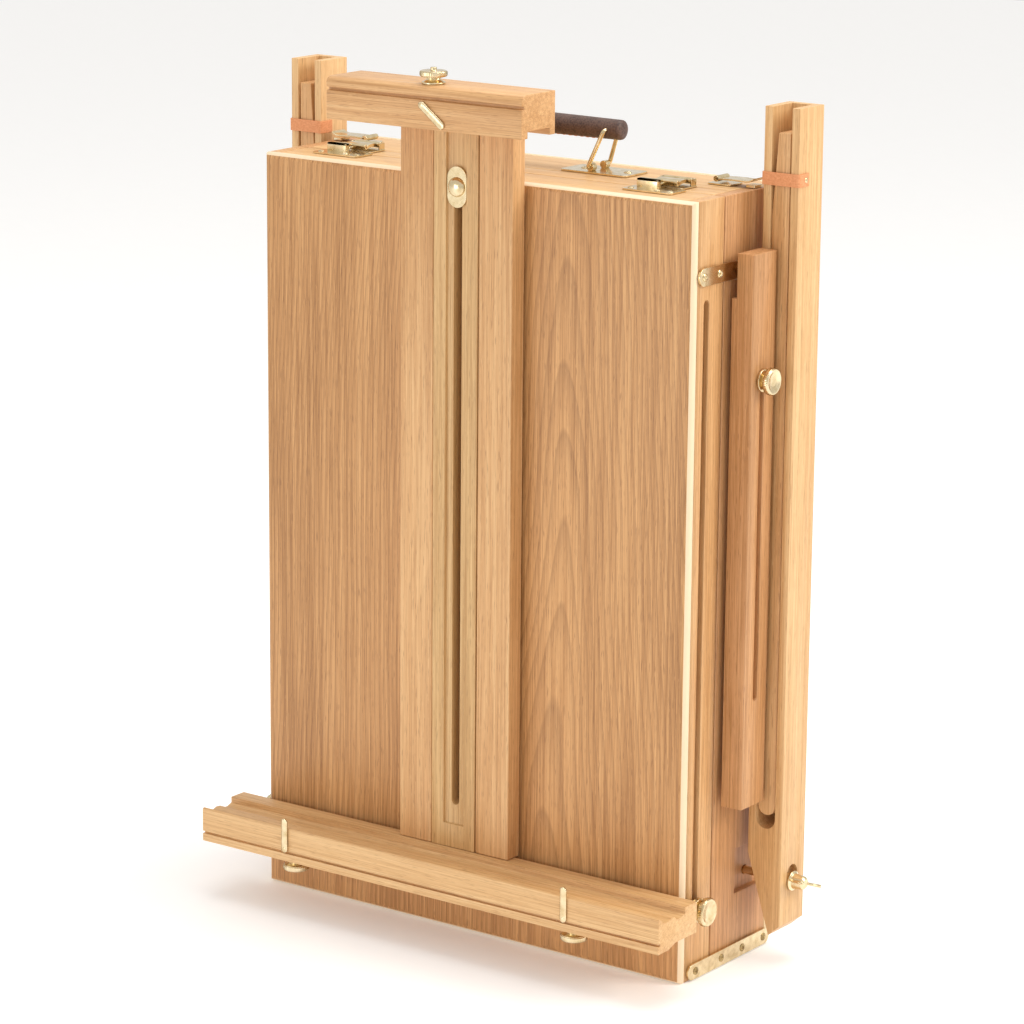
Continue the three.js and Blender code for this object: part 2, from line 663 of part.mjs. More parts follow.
/** A flat clip drawn about its pivot pin: the pin goes back into the wood, the blade lies along the face. */
function flatClip(angle) {
  const half = CLIP.width / 2;
  const face = [-CLIP.off - CLIP.thickness, -CLIP.off];
  const blade = prism("y", stadium(0, 0, 0, CLIP.length - half, half), ...face);
  const pin = rod("y", 0, 0, CLIP.pin, face[0], CLIP.pinDepth);
  return turn(blade.add(pin), Y_AXIS, angle);
}
const CLAMP_CLIP_LEAN = (127 * Math.PI) / 180;

piece("tray", trayBar(), BEECH);
piece("mast_slat", mastSlat(), SLAT_WOOD);
piece("mast_bolt", mastBolt(), BRASS);
piece("clamp_head", clampHead(), BEECH);
piece("clamp_nut", thumbNut(CLAMP.top - clampClipZ - 4), BRASS, [
  0,
  clampFrontY + NUT_BEHIND_FASCIA,
  CLAMP.top + FIT,
]);
piece("clamp_clip", flatClip(CLAMP_CLIP_LEAN), BRASS, [0, clampFrontY, clampClipZ]);
eachSide((side, word) => {
  piece(`mast_rail_${word}`, mastRail(side), BEECH);
  piece(`tray_bracket_${word}`, trayBracket(side), BRASS);
  const underTray = turn(thumbNut(trayClipZ - TRAY.bottom - 4), X_AXIS, Math.PI);
  piece(`tray_nut_${word}`, underTray, BRASS, [side * CLIP.x, trayNutY, TRAY.bottom - FIT]);
  piece(`tray_clip_${word}`, flatClip(0), BRASS, [side * CLIP.x, fasciaY, trayClipZ]);
  const knobX = sideX + 1.3 + BRACKET.thickness + FIT;
  const boltLength = knobX - innerX + 3;
  piece(`carrier_knob_${word}`, thumbKnob(side, CARRIER_KNOB.bolt, boltLength, CARRIER_KNOB.scale), BRASS, [
    side * knobX,
    hingeY,
    CARRIER_KNOB.z,
  ]);
});

// ---- lid stays ----
const cavityX = stayX[1] - STAY.web;
const staySlatX = [cavityX - 0.5 - STAY_SLAT.thickness, cavityX - 0.5];

/** Outer bar of a stay: a channel open to the case, a slot for the knob bolt, a step at the pin. */
function stayOuter(side) {
  const y = [stayY - STAY.depth / 2, stayY + STAY.depth / 2];
  const bar = block(both(...stayX, side), y, [STAY.bottom, STAY.top]);
  const half = STAY.cavity / 2;
  const cavity = block(both(stayX[0] - 1, cavityX, side), [stayY - half, stayY + half], [
    STAY.bottom - 1,
    STAY_SLAT.top + 4,
  ]);
  const r = STAY_SLOT.width / 2;
  const track = stadium(stayY, STAY_SLOT.bottom + r, stayY, STAY_SLOT.top - r, r);
  const slot = prism("x", track, ...both(cavityX - 1, stayX[1] + 1, side));
  const step = block(both(stayX[0] - 1, stayX[0] + 4, side), [y[0] - 1, y[1] + 1], [
    STAY_PIN.z - 19,
    STAY.top + 1,
  ]);
  const pinReach = both(stayX[0] - 1, cavityX - 1, side);
  const pinHole = rod("x", stayY, STAY_PIN.z, STAY_PIN.radius + RUN, ...pinReach);
  return bar.subtract(cavity).subtract(slot).subtract(step).subtract(pinHole);
}

/** Inner slat of a stay, round at the end that is pinned to the case. */
function stayInner(side) {
  const half = STAY.cavity / 2 - STAY_SLAT.play;
  const slat = block(both(...staySlatX, side), [stayY - half, stayY + half], [
    STAY_PIVOT_Z,
    STAY_SLAT.top,
  ]).add(rod("x", stayY, STAY_PIVOT_Z, half, ...both(...staySlatX, side)));
  const through = both(staySlatX[0] - 1, staySlatX[1] + 1, side);
  const eye = rod("x", stayY, STAY_PIVOT_Z, STAY_PIN.radius + RUN, ...through);
  const boltHole = rod("x", stayY, STAY_KNOB.z, STAY_KNOB.bolt + RUN, ...through);
  return slat.subtract(eye).subtract(boltHole);
}

eachSide((side, word) => {
  piece(`stay_outer_${word}`, stayOuter(side), BEECH);
  piece(`stay_inner_${word}`, stayInner(side), BEECH);
  const boltLength = stayX[1] + FIT - staySlatX[0] - 1;
  piece(`stay_knob_${word}`, thumbKnob(side, STAY_KNOB.bolt, boltLength), BRASS, [
    side * (stayX[1] + FIT),
    stayY,
    STAY_KNOB.z,
  ]);
});

// ---- legs ----
const channelX = legX[0] + (LEG.width - CHANNEL.width) / 2;

/** Upper leg beside the case: a channel open to the front, a tapered lower end, a recessed pivot hole. */
function sideLeg(side) {
  const y = [legFrontY, legFrontY + LEG.depth];
  const face = outline(
    [
      [legX[0], LEG.top],
      [legX[0], LEG.taper],
      [legX[0] + 19, LEG.tip],
      [legX[1] - 2.5, LEG.bottom - 2],
      [legX[1], LEG.bottom],
      [legX[1], LEG.top],
    ].map(([x, z]) => [side * x, z]),
  );
  const r = CHANNEL.width / 2;
  const middle = side * (channelX + r);
  const channelY = [y[0] - 1, y[1] - CHANNEL.back];
  const channel = prism("y", stadium(middle, CHANNEL.bottom + r, middle, LEG.top + 20, r), ...channelY);
  const through = both(legX[0] - 1, legX[1] + 1, side);
  const hole = rod("x", legPivotY, LEG_PIVOT.z, LEG_PIVOT.bolt + RUN, ...through);
  const recess = prism(
    "x",
    stadium(legPivotY, LEG_PIVOT.z, legPivotY, LEG_PIVOT.z + LEG_PIVOT.recessTop, LEG_PIVOT.recess),
    ...both(legX[1] - LEG_PIVOT.recessDepth, legX[1] + 1, side),
  );
  return prism("y", face, ...y).subtract(channel).subtract(hole).subtract(recess);
}

/** Sliding foot: fills the channel, round at its inner end, narrowed at the end that meets the ground. */
function footBar(width, middle, inner, tip, y, side) {
  const way = Math.sign(tip - inner);
  const half = width / 2;
  const neck = tip - way * FOOT.neckLength;
  const face = outline([
    [middle - half, inner + way * half],
    [middle + half, inner + way * half],
    [middle + half, neck],
    [middle + half - (side > 0 ? 0.8 : FOOT.neck), tip],
    [middle - half + (side > 0 ? FOOT.neck : 0.8), tip],
    [middle - half, neck],
  ]);
  return prism("y", face, ...y).add(rod("y", middle, inner + way * half, half, ...y));
}

function sideFoot(side) {
  const width = CHANNEL.width - 2 * FOOT.play;
  const y = [legFrontY + 0.8, legFrontY + LEG.depth - CHANNEL.back - FOOT.play];
  return footBar(width, side * (channelX + CHANNEL.width / 2), FOOT.bottom, FOOT.top, y, side);
}

/** A wing screw drawn about the leg's outer face: bolt inwards, hub and two ears outwards. */
function wingScrew(side, boltLength, seat) {
  const hub = turnedOutwards(
    [
      [0, -boltLength],
      [LEG_PIVOT.bolt, -boltLength],
      [LEG_PIVOT.bolt, -seat],
      [WING.hub - 0.6, -seat],
      [WING.hub, FIT],
      [WING.flange, FIT],
      [WING.flange, FIT + 1.6],
      [WING.hub, FIT + 2.2],
      [WING.hub - 1.4, WING.hubLength],
      [0, WING.hubLength],
    ],
    side,
  );
  const ears = outline([
    [-WING.reach, WING.tip],
    [-WING.reach - 1, WING.tip - 8],
    [-WING.hub + 1, 1],
    [WING.hub - 1, 1],
    [WING.reach + 1, WING.tip - 8],
    [WING.reach, WING.tip],
    [WING.hub - 2, WING.hubLength - 2],
    [-WING.hub + 2, WING.hubLength - 2],
  ]);
  const plate = prism("y", ears, -WING.thickness / 2, WING.thickness / 2);
  const upright = turn(plate, Y_AXIS, (side * Math.PI) / 2);
  return turn(hub.add(upright), X_AXIS, (WING.lean * Math.PI) / 180);
}

const rearLegY = [rearY + FIT, rearY + FIT + LEG.depth];
const rearPivotY = (rearLegY[0] + rearLegY[1]) / 2;

/** Rear leg, hung between the bracket's cheeks with a round end; its channel opens backwards. */
function rearLeg() {
  const half = LEG.width / 2;
  const bar = block([-half, half], rearLegY, [REAR_LEG.bottom, REAR_LEG.pivot]).add(
    rod("x", rearPivotY, REAR_LEG.pivot, LEG.depth / 2, -half, half),
  );
  const r = CHANNEL.width / 2;
  const end = REAR_LEG.pivot - 41;
  const channelY = [rearLegY[0] + CHANNEL.back, rearLegY[1] + 1];
  const channel = prism("y", stadium(0, REAR_LEG.bottom - 20, 0, end - r, r), ...channelY);
  const hole = rod("x", rearPivotY, REAR_LEG.pivot, LEG_PIVOT.bolt + RUN, -half - 1, half + 1);
  return bar.subtract(channel).subtract(hole);
}

function rearFoot() {
  const width = CHANNEL.width - 2 * FOOT.play;
  const y = [rearLegY[0] + CHANNEL.back + FOOT.play, rearLegY[1] - 0.8];
  return footBar(width, 0, REAR_LEG.pivot - 51, REAR_LEG.bottom + 18, y, 1);
}

/** Bracket on the back: two cheeks joined by a foot plate under the leg's upper end. */
function rearLegBracket() {
  const inner = LEG.width / 2 + 0.8;
  const outer = inner + REAR_LEG.cheek;
  const z = [REAR_LEG.pivot - REAR_LEG.below, REAR_LEG.pivot + REAR_LEG.above];
  const y = [rearY + FIT, rearLegY[1]];
  const whole = block([-outer, outer], y, z);
  const room = block([-inner, inner], [y[0] - 1, y[1] + 1], [z[0] - 1, z[1] - REAR_LEG.roof]);
  const bolt = rod("x", rearPivotY, REAR_LEG.pivot, LEG_PIVOT.bolt + RUN, -outer - 1, outer + 1);
  return whole.subtract(room).subtract(bolt);
}

eachSide((side, word) => {
  piece(`leg_${word}`, sideLeg(side), BEECH);
  piece(`leg_foot_${word}`, sideFoot(side), BEECH);
  const boltLength = legX[1] - innerX - 2;
  const seat = LEG_PIVOT.recessDepth - 1;
  piece(`leg_wing_${word}`, wingScrew(side, boltLength, seat), BRASS, [
    side * legX[1],
    legPivotY,
    LEG_PIVOT.z,
  ]);
});
piece("leg_rear", rearLeg(), BEECH);
piece("leg_foot_rear", rearFoot(), BEECH);
piece("rear_leg_bracket", rearLegBracket(), BEECH);
const bracketEdge = LEG.width / 2 + 0.8 + REAR_LEG.cheek;
piece("leg_wing_rear", wingScrew(1, 2 * bracketEdge, 0), BRASS, [
  bracketEdge + FIT,
  rearPivotY,
  REAR_LEG.pivot,
]);

export default easel;
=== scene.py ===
"""Looks for the closed box easel: eased timber boards, turned brass hardware and a leather grip."""
import json
import math

import bmesh
import bpy
import numpy as np
from mathutils import Matrix, Vector


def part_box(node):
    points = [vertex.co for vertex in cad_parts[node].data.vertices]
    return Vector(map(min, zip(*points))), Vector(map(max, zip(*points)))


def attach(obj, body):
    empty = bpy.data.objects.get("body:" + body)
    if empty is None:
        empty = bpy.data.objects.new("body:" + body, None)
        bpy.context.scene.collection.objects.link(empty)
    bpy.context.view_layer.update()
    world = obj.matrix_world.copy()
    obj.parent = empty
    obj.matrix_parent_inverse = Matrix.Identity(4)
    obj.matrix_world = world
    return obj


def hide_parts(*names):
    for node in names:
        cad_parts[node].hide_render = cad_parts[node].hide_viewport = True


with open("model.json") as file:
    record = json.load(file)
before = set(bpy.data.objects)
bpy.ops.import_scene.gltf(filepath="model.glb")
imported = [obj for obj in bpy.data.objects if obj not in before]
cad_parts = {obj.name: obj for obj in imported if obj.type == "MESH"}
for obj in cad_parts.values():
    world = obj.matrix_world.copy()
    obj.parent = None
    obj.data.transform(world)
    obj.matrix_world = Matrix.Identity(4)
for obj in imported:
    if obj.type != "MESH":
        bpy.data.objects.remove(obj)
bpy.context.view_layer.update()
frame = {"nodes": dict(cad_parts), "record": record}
MM = 0.001
NODE_BODY = {node: body for body, nodes in frame["record"]["behaviour"]["bodies"].items() for node in nodes}
SIDES = {"left": -1.0, "right": 1.0}
bpy.context.scene.view_settings.view_transform = "Standard"


# ---- materials ----

def linear(hex_colour):
    """sRGB hex to linear RGBA."""
    values = [int(hex_colour[i:i + 2], 16) / 255 for i in (1, 3, 5)]
    return [v / 12.92 if v <= 0.04045 else ((v + 0.055) / 1.055) ** 2.4 for v in values] + [1.0]


def add(tree, kind, inputs=None, stops=None, **settings):
    """Adds one node. A node, a socket, a hex colour or plain numbers feed its inputs; stops fill its ramp."""
    node = tree.nodes.new(kind)
    for key, value in settings.items():
        setattr(node, key, value)
    for key, value in (inputs or {}).items():
        if isinstance(value, bpy.types.Node):
            value = value.outputs[0]
        if isinstance(value, bpy.types.NodeSocket):
            tree.links.new(value, node.inputs[key])
        else:
            node.inputs[key].default_value = linear(value) if isinstance(value, str) else value
    for i, (place, colour) in enumerate(stops or ()):
        band = node.color_ramp.elements
        element = band[i] if i < len(band) else band.new(place)
        element.position = place
        element.color = linear(colour)
    return node


def new_material(name):
    """An empty material, its tree, and the object's own coordinates, in which every pattern is drawn."""
    material = bpy.data.materials.new(name)
    material.use_nodes = True
    tree = material.node_tree
    tree.nodes.clear()
    return material, tree, add(tree, "ShaderNodeTexCoord").outputs["Object"]


# The turn that brings a board's length upright, by the axis that it lies along.
TURN_TO_Z = {"z": (0, 0, 0), "x": (0, math.pi / 2, 0)}
# Size of each mark in the wood, in mm: across the grain, along it, and how many finer layers it has.
# The vessels of real beech are 0.1 mm wide; they are drawn wider here, so that they show at arm's length.
GRAIN = {
    "fibre": (0.6, 64, 2),
    "streak": (2.7, 300, 4),
    "cloud": (30, 380, 2),
    "pore": (0.7, 12, 1),
    "ray": (1.1, 7, 1),
}


def timber(name, along, tones, heart, seed, ring=3.2, figure=0.16, wander=1.0, taper=0.008, edge=None):
    """Lacquered sawn wood: straight fibres with fine dark vessels and pale rays. Growth rings, ring mm apart,
    are shells round the heart line, which runs along the board, so each face is cut from one block: long
    faint lines on the faces, rings on the ends. The trunk's taper closes the lines into arches where a face
    passes the heart. figure is the rings' strength and wander their sway. The lacquer is satin, a little
    smoother between the vessels."""
    material, tree, coords = new_material(name)
    block = add(tree, "ShaderNodeVectorRotate", {"Vector": coords, "Rotation": TURN_TO_Z[along]},
                rotation_type="EULER_XYZ")
    shift = (seed * 0.731, seed * 1.37, seed * 0.417)
    marks = {}
    for mark, (across, length, layers) in GRAIN.items():
        scale = (1 / (across * MM), 1 / (across * MM), 1 / (length * MM))
        place = add(tree, "ShaderNodeMapping", {"Vector": block, "Scale": scale, "Location": shift})
        marks[mark] = add(tree, "ShaderNodeTexNoise", {"Vector": place, "Scale": 1.0, "Detail": layers,
                                                       "Roughness": 0.6})
    bend = add(tree, "ShaderNodeMapping", {"Vector": block, "Scale": (9, 9, 2.2), "Location": shift})
    sway = add(tree, "ShaderNodeTexNoise", {"Vector": bend, "Scale": 1.0, "Detail": 2.0})
    lean = add(tree, "ShaderNodeVectorMath", {0: sway.outputs["Color"], 1: (0.5, 0.5, 0.5)},
               operation="SUBTRACT")
    drift = (0.035 * wander, 0.035 * wander, 0)
    moved = add(tree, "ShaderNodeVectorMath", {0: lean, 1: drift, 2: block}, operation="MULTIPLY_ADD")
    centred = add(tree, "ShaderNodeMapping", {"Vector": moved, "Scale": (1, 1, 0),
                                              "Location": (-heart[0], -heart[1], 0)})
    radius = add(tree, "ShaderNodeVectorMath", {0: centred}, operation="LENGTH").outputs["Value"]
    height = add(tree, "ShaderNodeSeparateXYZ", {0: moved}).outputs["Z"]
    coned = add(tree, "ShaderNodeMath", {0: height, 1: taper, 2: radius}, operation="MULTIPLY_ADD")
    counted = add(tree, "ShaderNodeMath", {0: coned, 1: ring * MM}, operation="DIVIDE")
    phase = add(tree, "ShaderNodeMath", {0: counted}, operation="FRACT")
    late = add(tree, "ShaderNodeMath", {0: phase, 1: 2.5}, operation="POWER")
    fade = add(tree, "ShaderNodeMapRange", {0: phase, "From Min": 0.9, "From Max": 1.0, "To Min": figure,
                                            "To Max": 0.0})
    rings = add(tree, "ShaderNodeMath", {0: late, 1: fade}, operation="MULTIPLY")
    light, mid, dark, pore = tones
    layers = add(tree, "ShaderNodeCombineXYZ", {0: marks["fibre"], 1: marks["streak"], 2: marks["cloud"]})
    tone = add(tree, "ShaderNodeVectorMath", {0: layers, 1: (0.42, 0.36, 0.22)}, operation="DOT_PRODUCT")
    base = add(tree, "ShaderNodeValToRGB", {0: tone.outputs["Value"]},
               [(0.4, dark), (0.5, mid), (0.6, light)])
    ringed = add(tree, "ShaderNodeMix", {0: rings, 6: base.outputs[0], 7: pore}, data_type="RGBA")
    vessel = add(tree, "ShaderNodeMapRange", {0: marks["pore"], "From Min": 0.6, "From Max": 0.72,
                                              "To Max": 0.5})
    pored = add(tree, "ShaderNodeMix", {0: vessel, 6: ringed.outputs[2], 7: pore}, data_type="RGBA")
    fleck = add(tree, "ShaderNodeMapRange", {0: marks["ray"], "From Min": 0.64, "From Max": 0.76,
                                             "To Max": 0.4})
    flecked = add(tree, "ShaderNodeMix", {0: fleck, 6: pored.outputs[2], 7: light}, data_type="RGBA")
    colour = flecked.outputs[2]
    if edge:
        colour = edge(tree, coords, colour)
    relief = add(tree, "ShaderNodeMath", {0: marks["fibre"], 1: vessel}, operation="SUBTRACT")
    bump = add(tree, "ShaderNodeBump", {"Height": relief, "Strength": 0.25, "Distance": 0.12 * MM})
    gloss = add(tree, "ShaderNodeMapRange", {0: marks["fibre"], "To Min": 0.4, "To Max": 0.58})
    shader = add(tree, "ShaderNodeBsdfPrincipled", {"Base Color": colour, "Roughness": gloss, "Normal": bump,
                                                    "Coat Weight": 0.12, "Coat Roughness": 0.35})
    add(tree, "ShaderNodeOutputMaterial", {"Surface": shader})
    return material


def pale_core(tree, coords, colour):
    """Bare pale core of the veneered panel: a cream line along the rim of its face, and cream edges."""
    low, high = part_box("lid_panel")
    middle = [(a + b) / 2 for a, b in zip(low, high)]
    core = 1.1 * MM  # width of the line on the face
    veneer = 1.0 * MM
    from_middle = add(tree, "ShaderNodeVectorMath", {0: coords, 1: middle}, operation="SUBTRACT")
    part = add(tree, "ShaderNodeSeparateXYZ",
               {0: add(tree, "ShaderNodeVectorMath", {0: from_middle}, operation="ABSOLUTE")})
    depth = add(tree, "ShaderNodeSeparateXYZ", {0: coords})
    at_side = add(tree, "ShaderNodeMath", {0: part.outputs["X"], 1: high[0] - middle[0] - core},
                  operation="GREATER_THAN")
    at_end = add(tree, "ShaderNodeMath", {0: part.outputs["Z"], 1: high[2] - middle[2] - core},
                 operation="GREATER_THAN")
    behind = add(tree, "ShaderNodeMath", {0: depth.outputs["Y"], 1: low[1] + veneer},
                 operation="GREATER_THAN")
    rim = add(tree, "ShaderNodeMath", {0: at_side, 1: at_end}, operation="MAXIMUM")
    mask = add(tree, "ShaderNodeMath", {0: rim, 1: behind}, operation="MAXIMUM")
    cream = add(tree, "ShaderNodeMix", {0: 0.2, 6: "#f8e2bf", 7: colour}, data_type="RGBA").outputs[2]
    return add(tree, "ShaderNodeMix", {0: mask, 6: colour, 7: cream}, data_type="RGBA").outputs[2]


def plated_brass(name, colour, hazed, rough):
    """Brass plate over steel, barrel polished: a clear warm reflection, slightly uneven and faintly hazed,
    with handling haze in patches about 6 mm across."""
    material, tree, coords = new_material(name)
    place = add(tree, "ShaderNodeMapping", {"Vector": coords, "Scale": (160, 160, 160)})
    haze = add(tree, "ShaderNodeTexNoise", {"Vector": place, "Scale": 1.0, "Detail": 3.0})
    worn = add(tree, "ShaderNodeValToRGB", {0: haze}, [(0.3, colour), (0.75, hazed)])
    gloss = add(tree, "ShaderNodeMapRange", {0: haze, "To Min": rough, "To Max": rough + 0.14})
    shader = add(tree, "ShaderNodeBsdfPrincipled", {"Base Color": worn, "Roughness": gloss, "Metallic": 1.0})
    add(tree, "ShaderNodeOutputMaterial", {"Surface": shader})
    return material


def grained_leather(name):
    """Dark chrome-tanned leather: round-cornered pebbles about 1.2 mm across, painted darker in the hollows
    between them as painted shade, lighter on their tops.
    """
    material, tree, coords = new_material(name)
    small = add(tree, "ShaderNodeMapping", {"Vector": coords, "Scale": (850, 850, 850)})
    large = add(tree, "ShaderNodeMapping", {"Vector": coords, "Scale": (60, 60, 60)})
    pebble = add(tree, "ShaderNodeTexVoronoi", {"Vector": small, "Scale": 1.0}, feature="SMOOTH_F1")
    cloud = add(tree, "ShaderNodeTexNoise", {"Vector": large, "Scale": 1.0, "Detail": 3.0})
    # The colour follows pebble height, half and half with a large cloud: painted shade darkens the hollows,
    # and the tops are lighter.
    height = add(tree, "ShaderNodeMath", {0: 1.0, 1: pebble.outputs["Distance"]}, operation="SUBTRACT")
    tone = add(tree, "ShaderNodeMix", {0: 0.5, 2: height, 3: cloud})
    dyed = add(tree, "ShaderNodeValToRGB", {0: tone}, [(0.35, "#3b2620"), (0.7, "#6b4f42")])
    bump = add(tree, "ShaderNodeBump", {"Height": height, "Strength": 0.5, "Distance": 0.25 * MM})
    shader = add(tree, "ShaderNodeBsdfPrincipled", {"Base Color": dyed, "Normal": bump, "Roughness": 0.46})
    add(tree, "ShaderNodeOutputMaterial", {"Surface": shader})
    return material


def fibre_strap(name):
    """Vulcanised fibre strip, dyed terracotta: matt, faintly mottled, with a soft fibrous surface."""
    material, tree, coords = new_material(name)
    place = add(tree, "ShaderNodeMapping", {"Vector": coords, "Scale": (500, 500, 900)})
    felt = add(tree, "ShaderNodeTexNoise", {"Vector": place, "Scale": 1.0, "Detail": 4.0, "Roughness": 0.7})
    dyed = add(tree, "ShaderNodeValToRGB", {0: felt}, [(0.3, "#cf8350"), (0.7, "#e9a373")])
    bump = add(tree, "ShaderNodeBump", {"Height": felt, "Strength": 0.3, "Distance": 0.15 * MM})
    shader = add(tree, "ShaderNodeBsdfPrincipled", {"Base Color": dyed, "Normal": bump, "Roughness": 0.7})
    add(tree, "ShaderNodeOutputMaterial", {"Surface": shader})
    return material


def studio_paper(name):
    """Matt white paper sweep under the object, lit a little from within so that it stays white far back."""
    material, tree, coords = new_material(name)
    place = add(tree, "ShaderNodeMapping", {"Vector": coords, "Scale": (30, 30, 30)})
    tooth = add(tree, "ShaderNodeTexNoise", {"Vector": place, "Scale": 1.0, "Detail": 3.0})
    white = add(tree, "ShaderNodeValToRGB", {0: tooth}, [(0.2, "#f6f5f4"), (0.8, "#f9f8f7")])
    shader = add(tree, "ShaderNodeBsdfPrincipled", {"Base Color": white, "Roughness": 0.9,
                                                    "Emission Color": "#ffffff", "Emission Strength": 0.16})
    add(tree, "ShaderNodeOutputMaterial", {"Surface": shader})
    return material


# Tones of each wood: light, middle and dark fibres, then its vessels and late wood.
BEECH = ("#e2b680", "#d3a16b", "#bd8a54", "#8f6136")
PALE_BEECH = ("#e8c08a", "#dbaf78", "#c89760", "#9d6d40")
# The darker, warmer beech for the case sides and outer stays is partly their own tone and partly painted
# shade, because those faces stand in the shade of the legs and stays.
WARM_SHADED_BEECH = ("#d8a473", "#c79260", "#b07b48", "#85572e")
SLAT = ("#dcb67e", "#cfa56e", "#b98c54", "#8f6739")
VENEER = ("#d8a46b", "#c48f58", "#a97642", "#7d5128")
PLY = ("#f2ddb8", "#e8cfa5", "#d8b988", "#b08b5e")
BRASS = plated_brass("plated_brass", "#f0dfba", "#cdb587", 0.14)
DULL_BRASS = plated_brass("dull_plated_screws", "#cdb483", "#7d6740", 0.24)
LEATHER = grained_leather("pebbled_leather")
STRAP = fibre_strap("vulcanised_fibre")


# ---- mesh building ----

def mesh_piece(name, vertices, faces, material, body, slot):
    """A new smooth-shaded piece from an array of points and its faces, in place, riding on a body."""
    mesh = bpy.data.meshes.new(name)
    mesh.from_pydata(np.asarray(vertices).tolist(), [], [list(map(int, f)) for f in faces])
    bm = bmesh.new()
    bm.from_mesh(mesh)
    bmesh.ops.remove_doubles(bm, verts=bm.verts, dist=1e-6)
    bmesh.ops.dissolve_degenerate(bm, edges=bm.edges, dist=1e-7)
    bmesh.ops.recalc_face_normals(bm, faces=bm.faces)
    bm.to_mesh(mesh)
    bm.free()
    mesh.polygons.foreach_set("use_smooth", [True] * len(mesh.polygons))
    mesh.materials.append(material)
    piece = bpy.data.objects.new(name, mesh)
    bpy.context.scene.collection.objects.link(piece)
    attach(piece, body)
    return piece


EASED_FROM = math.radians(35.0)  # an edge is rounded if its two faces turn by more than this
TURNING_EASE = 0.35 * MM  # rounding of the corners of a turned profile


def soften(piece, width, segments=3):
    """Rounds the sharp edges by a bevel that keeps the flats flat."""
    bevel = piece.modifiers.new("eased_edges", "BEVEL")
    bevel.width = width
    bevel.segments = segments
    bevel.limit_method = "ANGLE"
    bevel.angle_limit = EASED_FROM
    bevel.use_clamp_overlap = True
    bevel.harden_normals = True
    return piece


def eased_copy(node, material, width, segments=3):
    """A copy of a CAD board with its loose triangles joined into flats and its edges eased."""
    source = frame["nodes"][node]
    mesh = source.data.copy()
    mesh.materials.clear()
    bm = bmesh.new()
    bm.from_mesh(mesh)
    bmesh.ops.remove_doubles(bm, verts=bm.verts, dist=2e-6)
    bmesh.ops.dissolve_limit(bm, angle_limit=math.radians(1.0), verts=bm.verts, edges=bm.edges)
    bm.to_mesh(mesh)
    bm.free()
    mesh.polygons.foreach_set("use_smooth", [True] * len(mesh.polygons))
    mesh.materials.append(material)
    piece = bpy.data.objects.new(node + "_eased", mesh)
    bpy.context.scene.collection.objects.link(piece)
    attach(piece, NODE_BODY[node])
    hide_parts(node)
    return soften(piece, width, segments)


def grid_faces(rows, columns, wrap=False):
    """Quads joining neighbours of a rows by columns grid of points, wrapping round the columns if asked."""
    r, c = np.meshgrid(np.arange(rows - 1), np.arange(columns if wrap else columns - 1), indexing="ij")
    right = (c + 1) % columns
    corners = [r * columns + c, r * columns + right, (r + 1) * columns + right, (r + 1) * columns + c]
    return np.stack(corners, axis=-1).reshape(-1, 4)


def rounded(points, radius, steps=4):
    """A polyline whose inner corners are cut by quadratic arcs: (1-t)^2 a + 2t(1-t) corner + t^2 b."""
    points = np.asarray(points, float)
    out = [points[0]]
    t = np.linspace(0, 1, steps + 1)[:, None]
    for before, corner, after in zip(points[:-2], points[1:-1], points[2:]):
        back, ahead = before - corner, after - corner
        reach = min(radius, 0.45 * np.linalg.norm(back), 0.45 * np.linalg.norm(ahead))
        a = corner + back / max(np.linalg.norm(back), 1e-9) * reach
        b = corner + ahead / max(np.linalg.norm(ahead), 1e-9) * reach
        out.extend((1 - t) ** 2 * a + 2 * t * (1 - t) * corner + t ** 2 * b)
    out.append(points[-1])
    return np.array(out)


def axes_for(direction):
    """Two unit vectors at right angles to a direction, and the direction itself, as rows of an array."""
    ahead = np.asarray(direction, float) / np.linalg.norm(direction)
    side = np.cross(ahead, (0, 0, 1) if abs(ahead[2]) < 0.9 else (0, 1, 0))
    side /= np.linalg.norm(side)
    return np.array([side, np.cross(ahead, side), ahead])


def turned(profile, foot, direction, steps=56, knurl=None):
    """A turned solid: radius and height run along the profile, the angle runs round the direction from foot.
    A knurl (low, high, count, depth) cuts depth * |sin(count * angle / 2)| into the rim between two
    heights."""
    rows = rounded(profile, TURNING_EASE)
    angle = np.linspace(0, 2 * np.pi, steps, endpoint=False)[None, :]
    radius = np.repeat(rows[:, :1], steps, axis=1)
    if knurl:
        low, high, count, depth = knurl
        rim = (rows[:, 1] > low) & (rows[:, 1] < high) & (rows[:, 0] > 0.8 * rows[:, 0].max())
        radius = radius - rim[:, None] * depth * np.abs(np.sin(count * angle / 2))
    side, up, ahead = axes_for(direction)
    points = (np.asarray(foot)[None, None, :] + (radius * np.cos(angle))[..., None] * side
              + (radius * np.sin(angle))[..., None] * up + rows[:, 1][:, None, None] * ahead)
    return points.reshape(-1, 3), grid_faces(len(rows), steps, wrap=True)


def swept(path, section):
    """A closed section of (side, up) offsets carried along a path. Its frame turns with the path's direction
    and doesn't twist: at each point the last side vector loses its part along the path and is made one long
    again. Both ends are closed by a flat cap."""
    path = np.asarray(path, float)
    section = np.asarray(section, float)
    ahead = np.gradient(path, axis=0)
    ahead /= np.linalg.norm(ahead, axis=1)[:, None]
    side = axes_for(ahead[0])[0]
    rings = []
    for point, way in zip(path, ahead):
        side = side - way * np.dot(side, way)
        side /= np.linalg.norm(side)
        rings.append(point + section[:, :1] * side + section[:, 1:] * np.cross(way, side))
    count = len(section)
    faces = grid_faces(len(path), count, wrap=True).tolist()
    last = (len(path) - 1) * count
    faces += [list(range(count))[::-1], [last + i for i in range(count)]]
    return np.concatenate(rings), faces


def circle(radius, steps=20):
    """Outline of a circle: radius * (cos a, sin a) at even steps of a."""
    angle = np.linspace(0, 2 * np.pi, steps, endpoint=False)
    return np.stack([radius * np.cos(angle), radius * np.sin(angle)], axis=1)


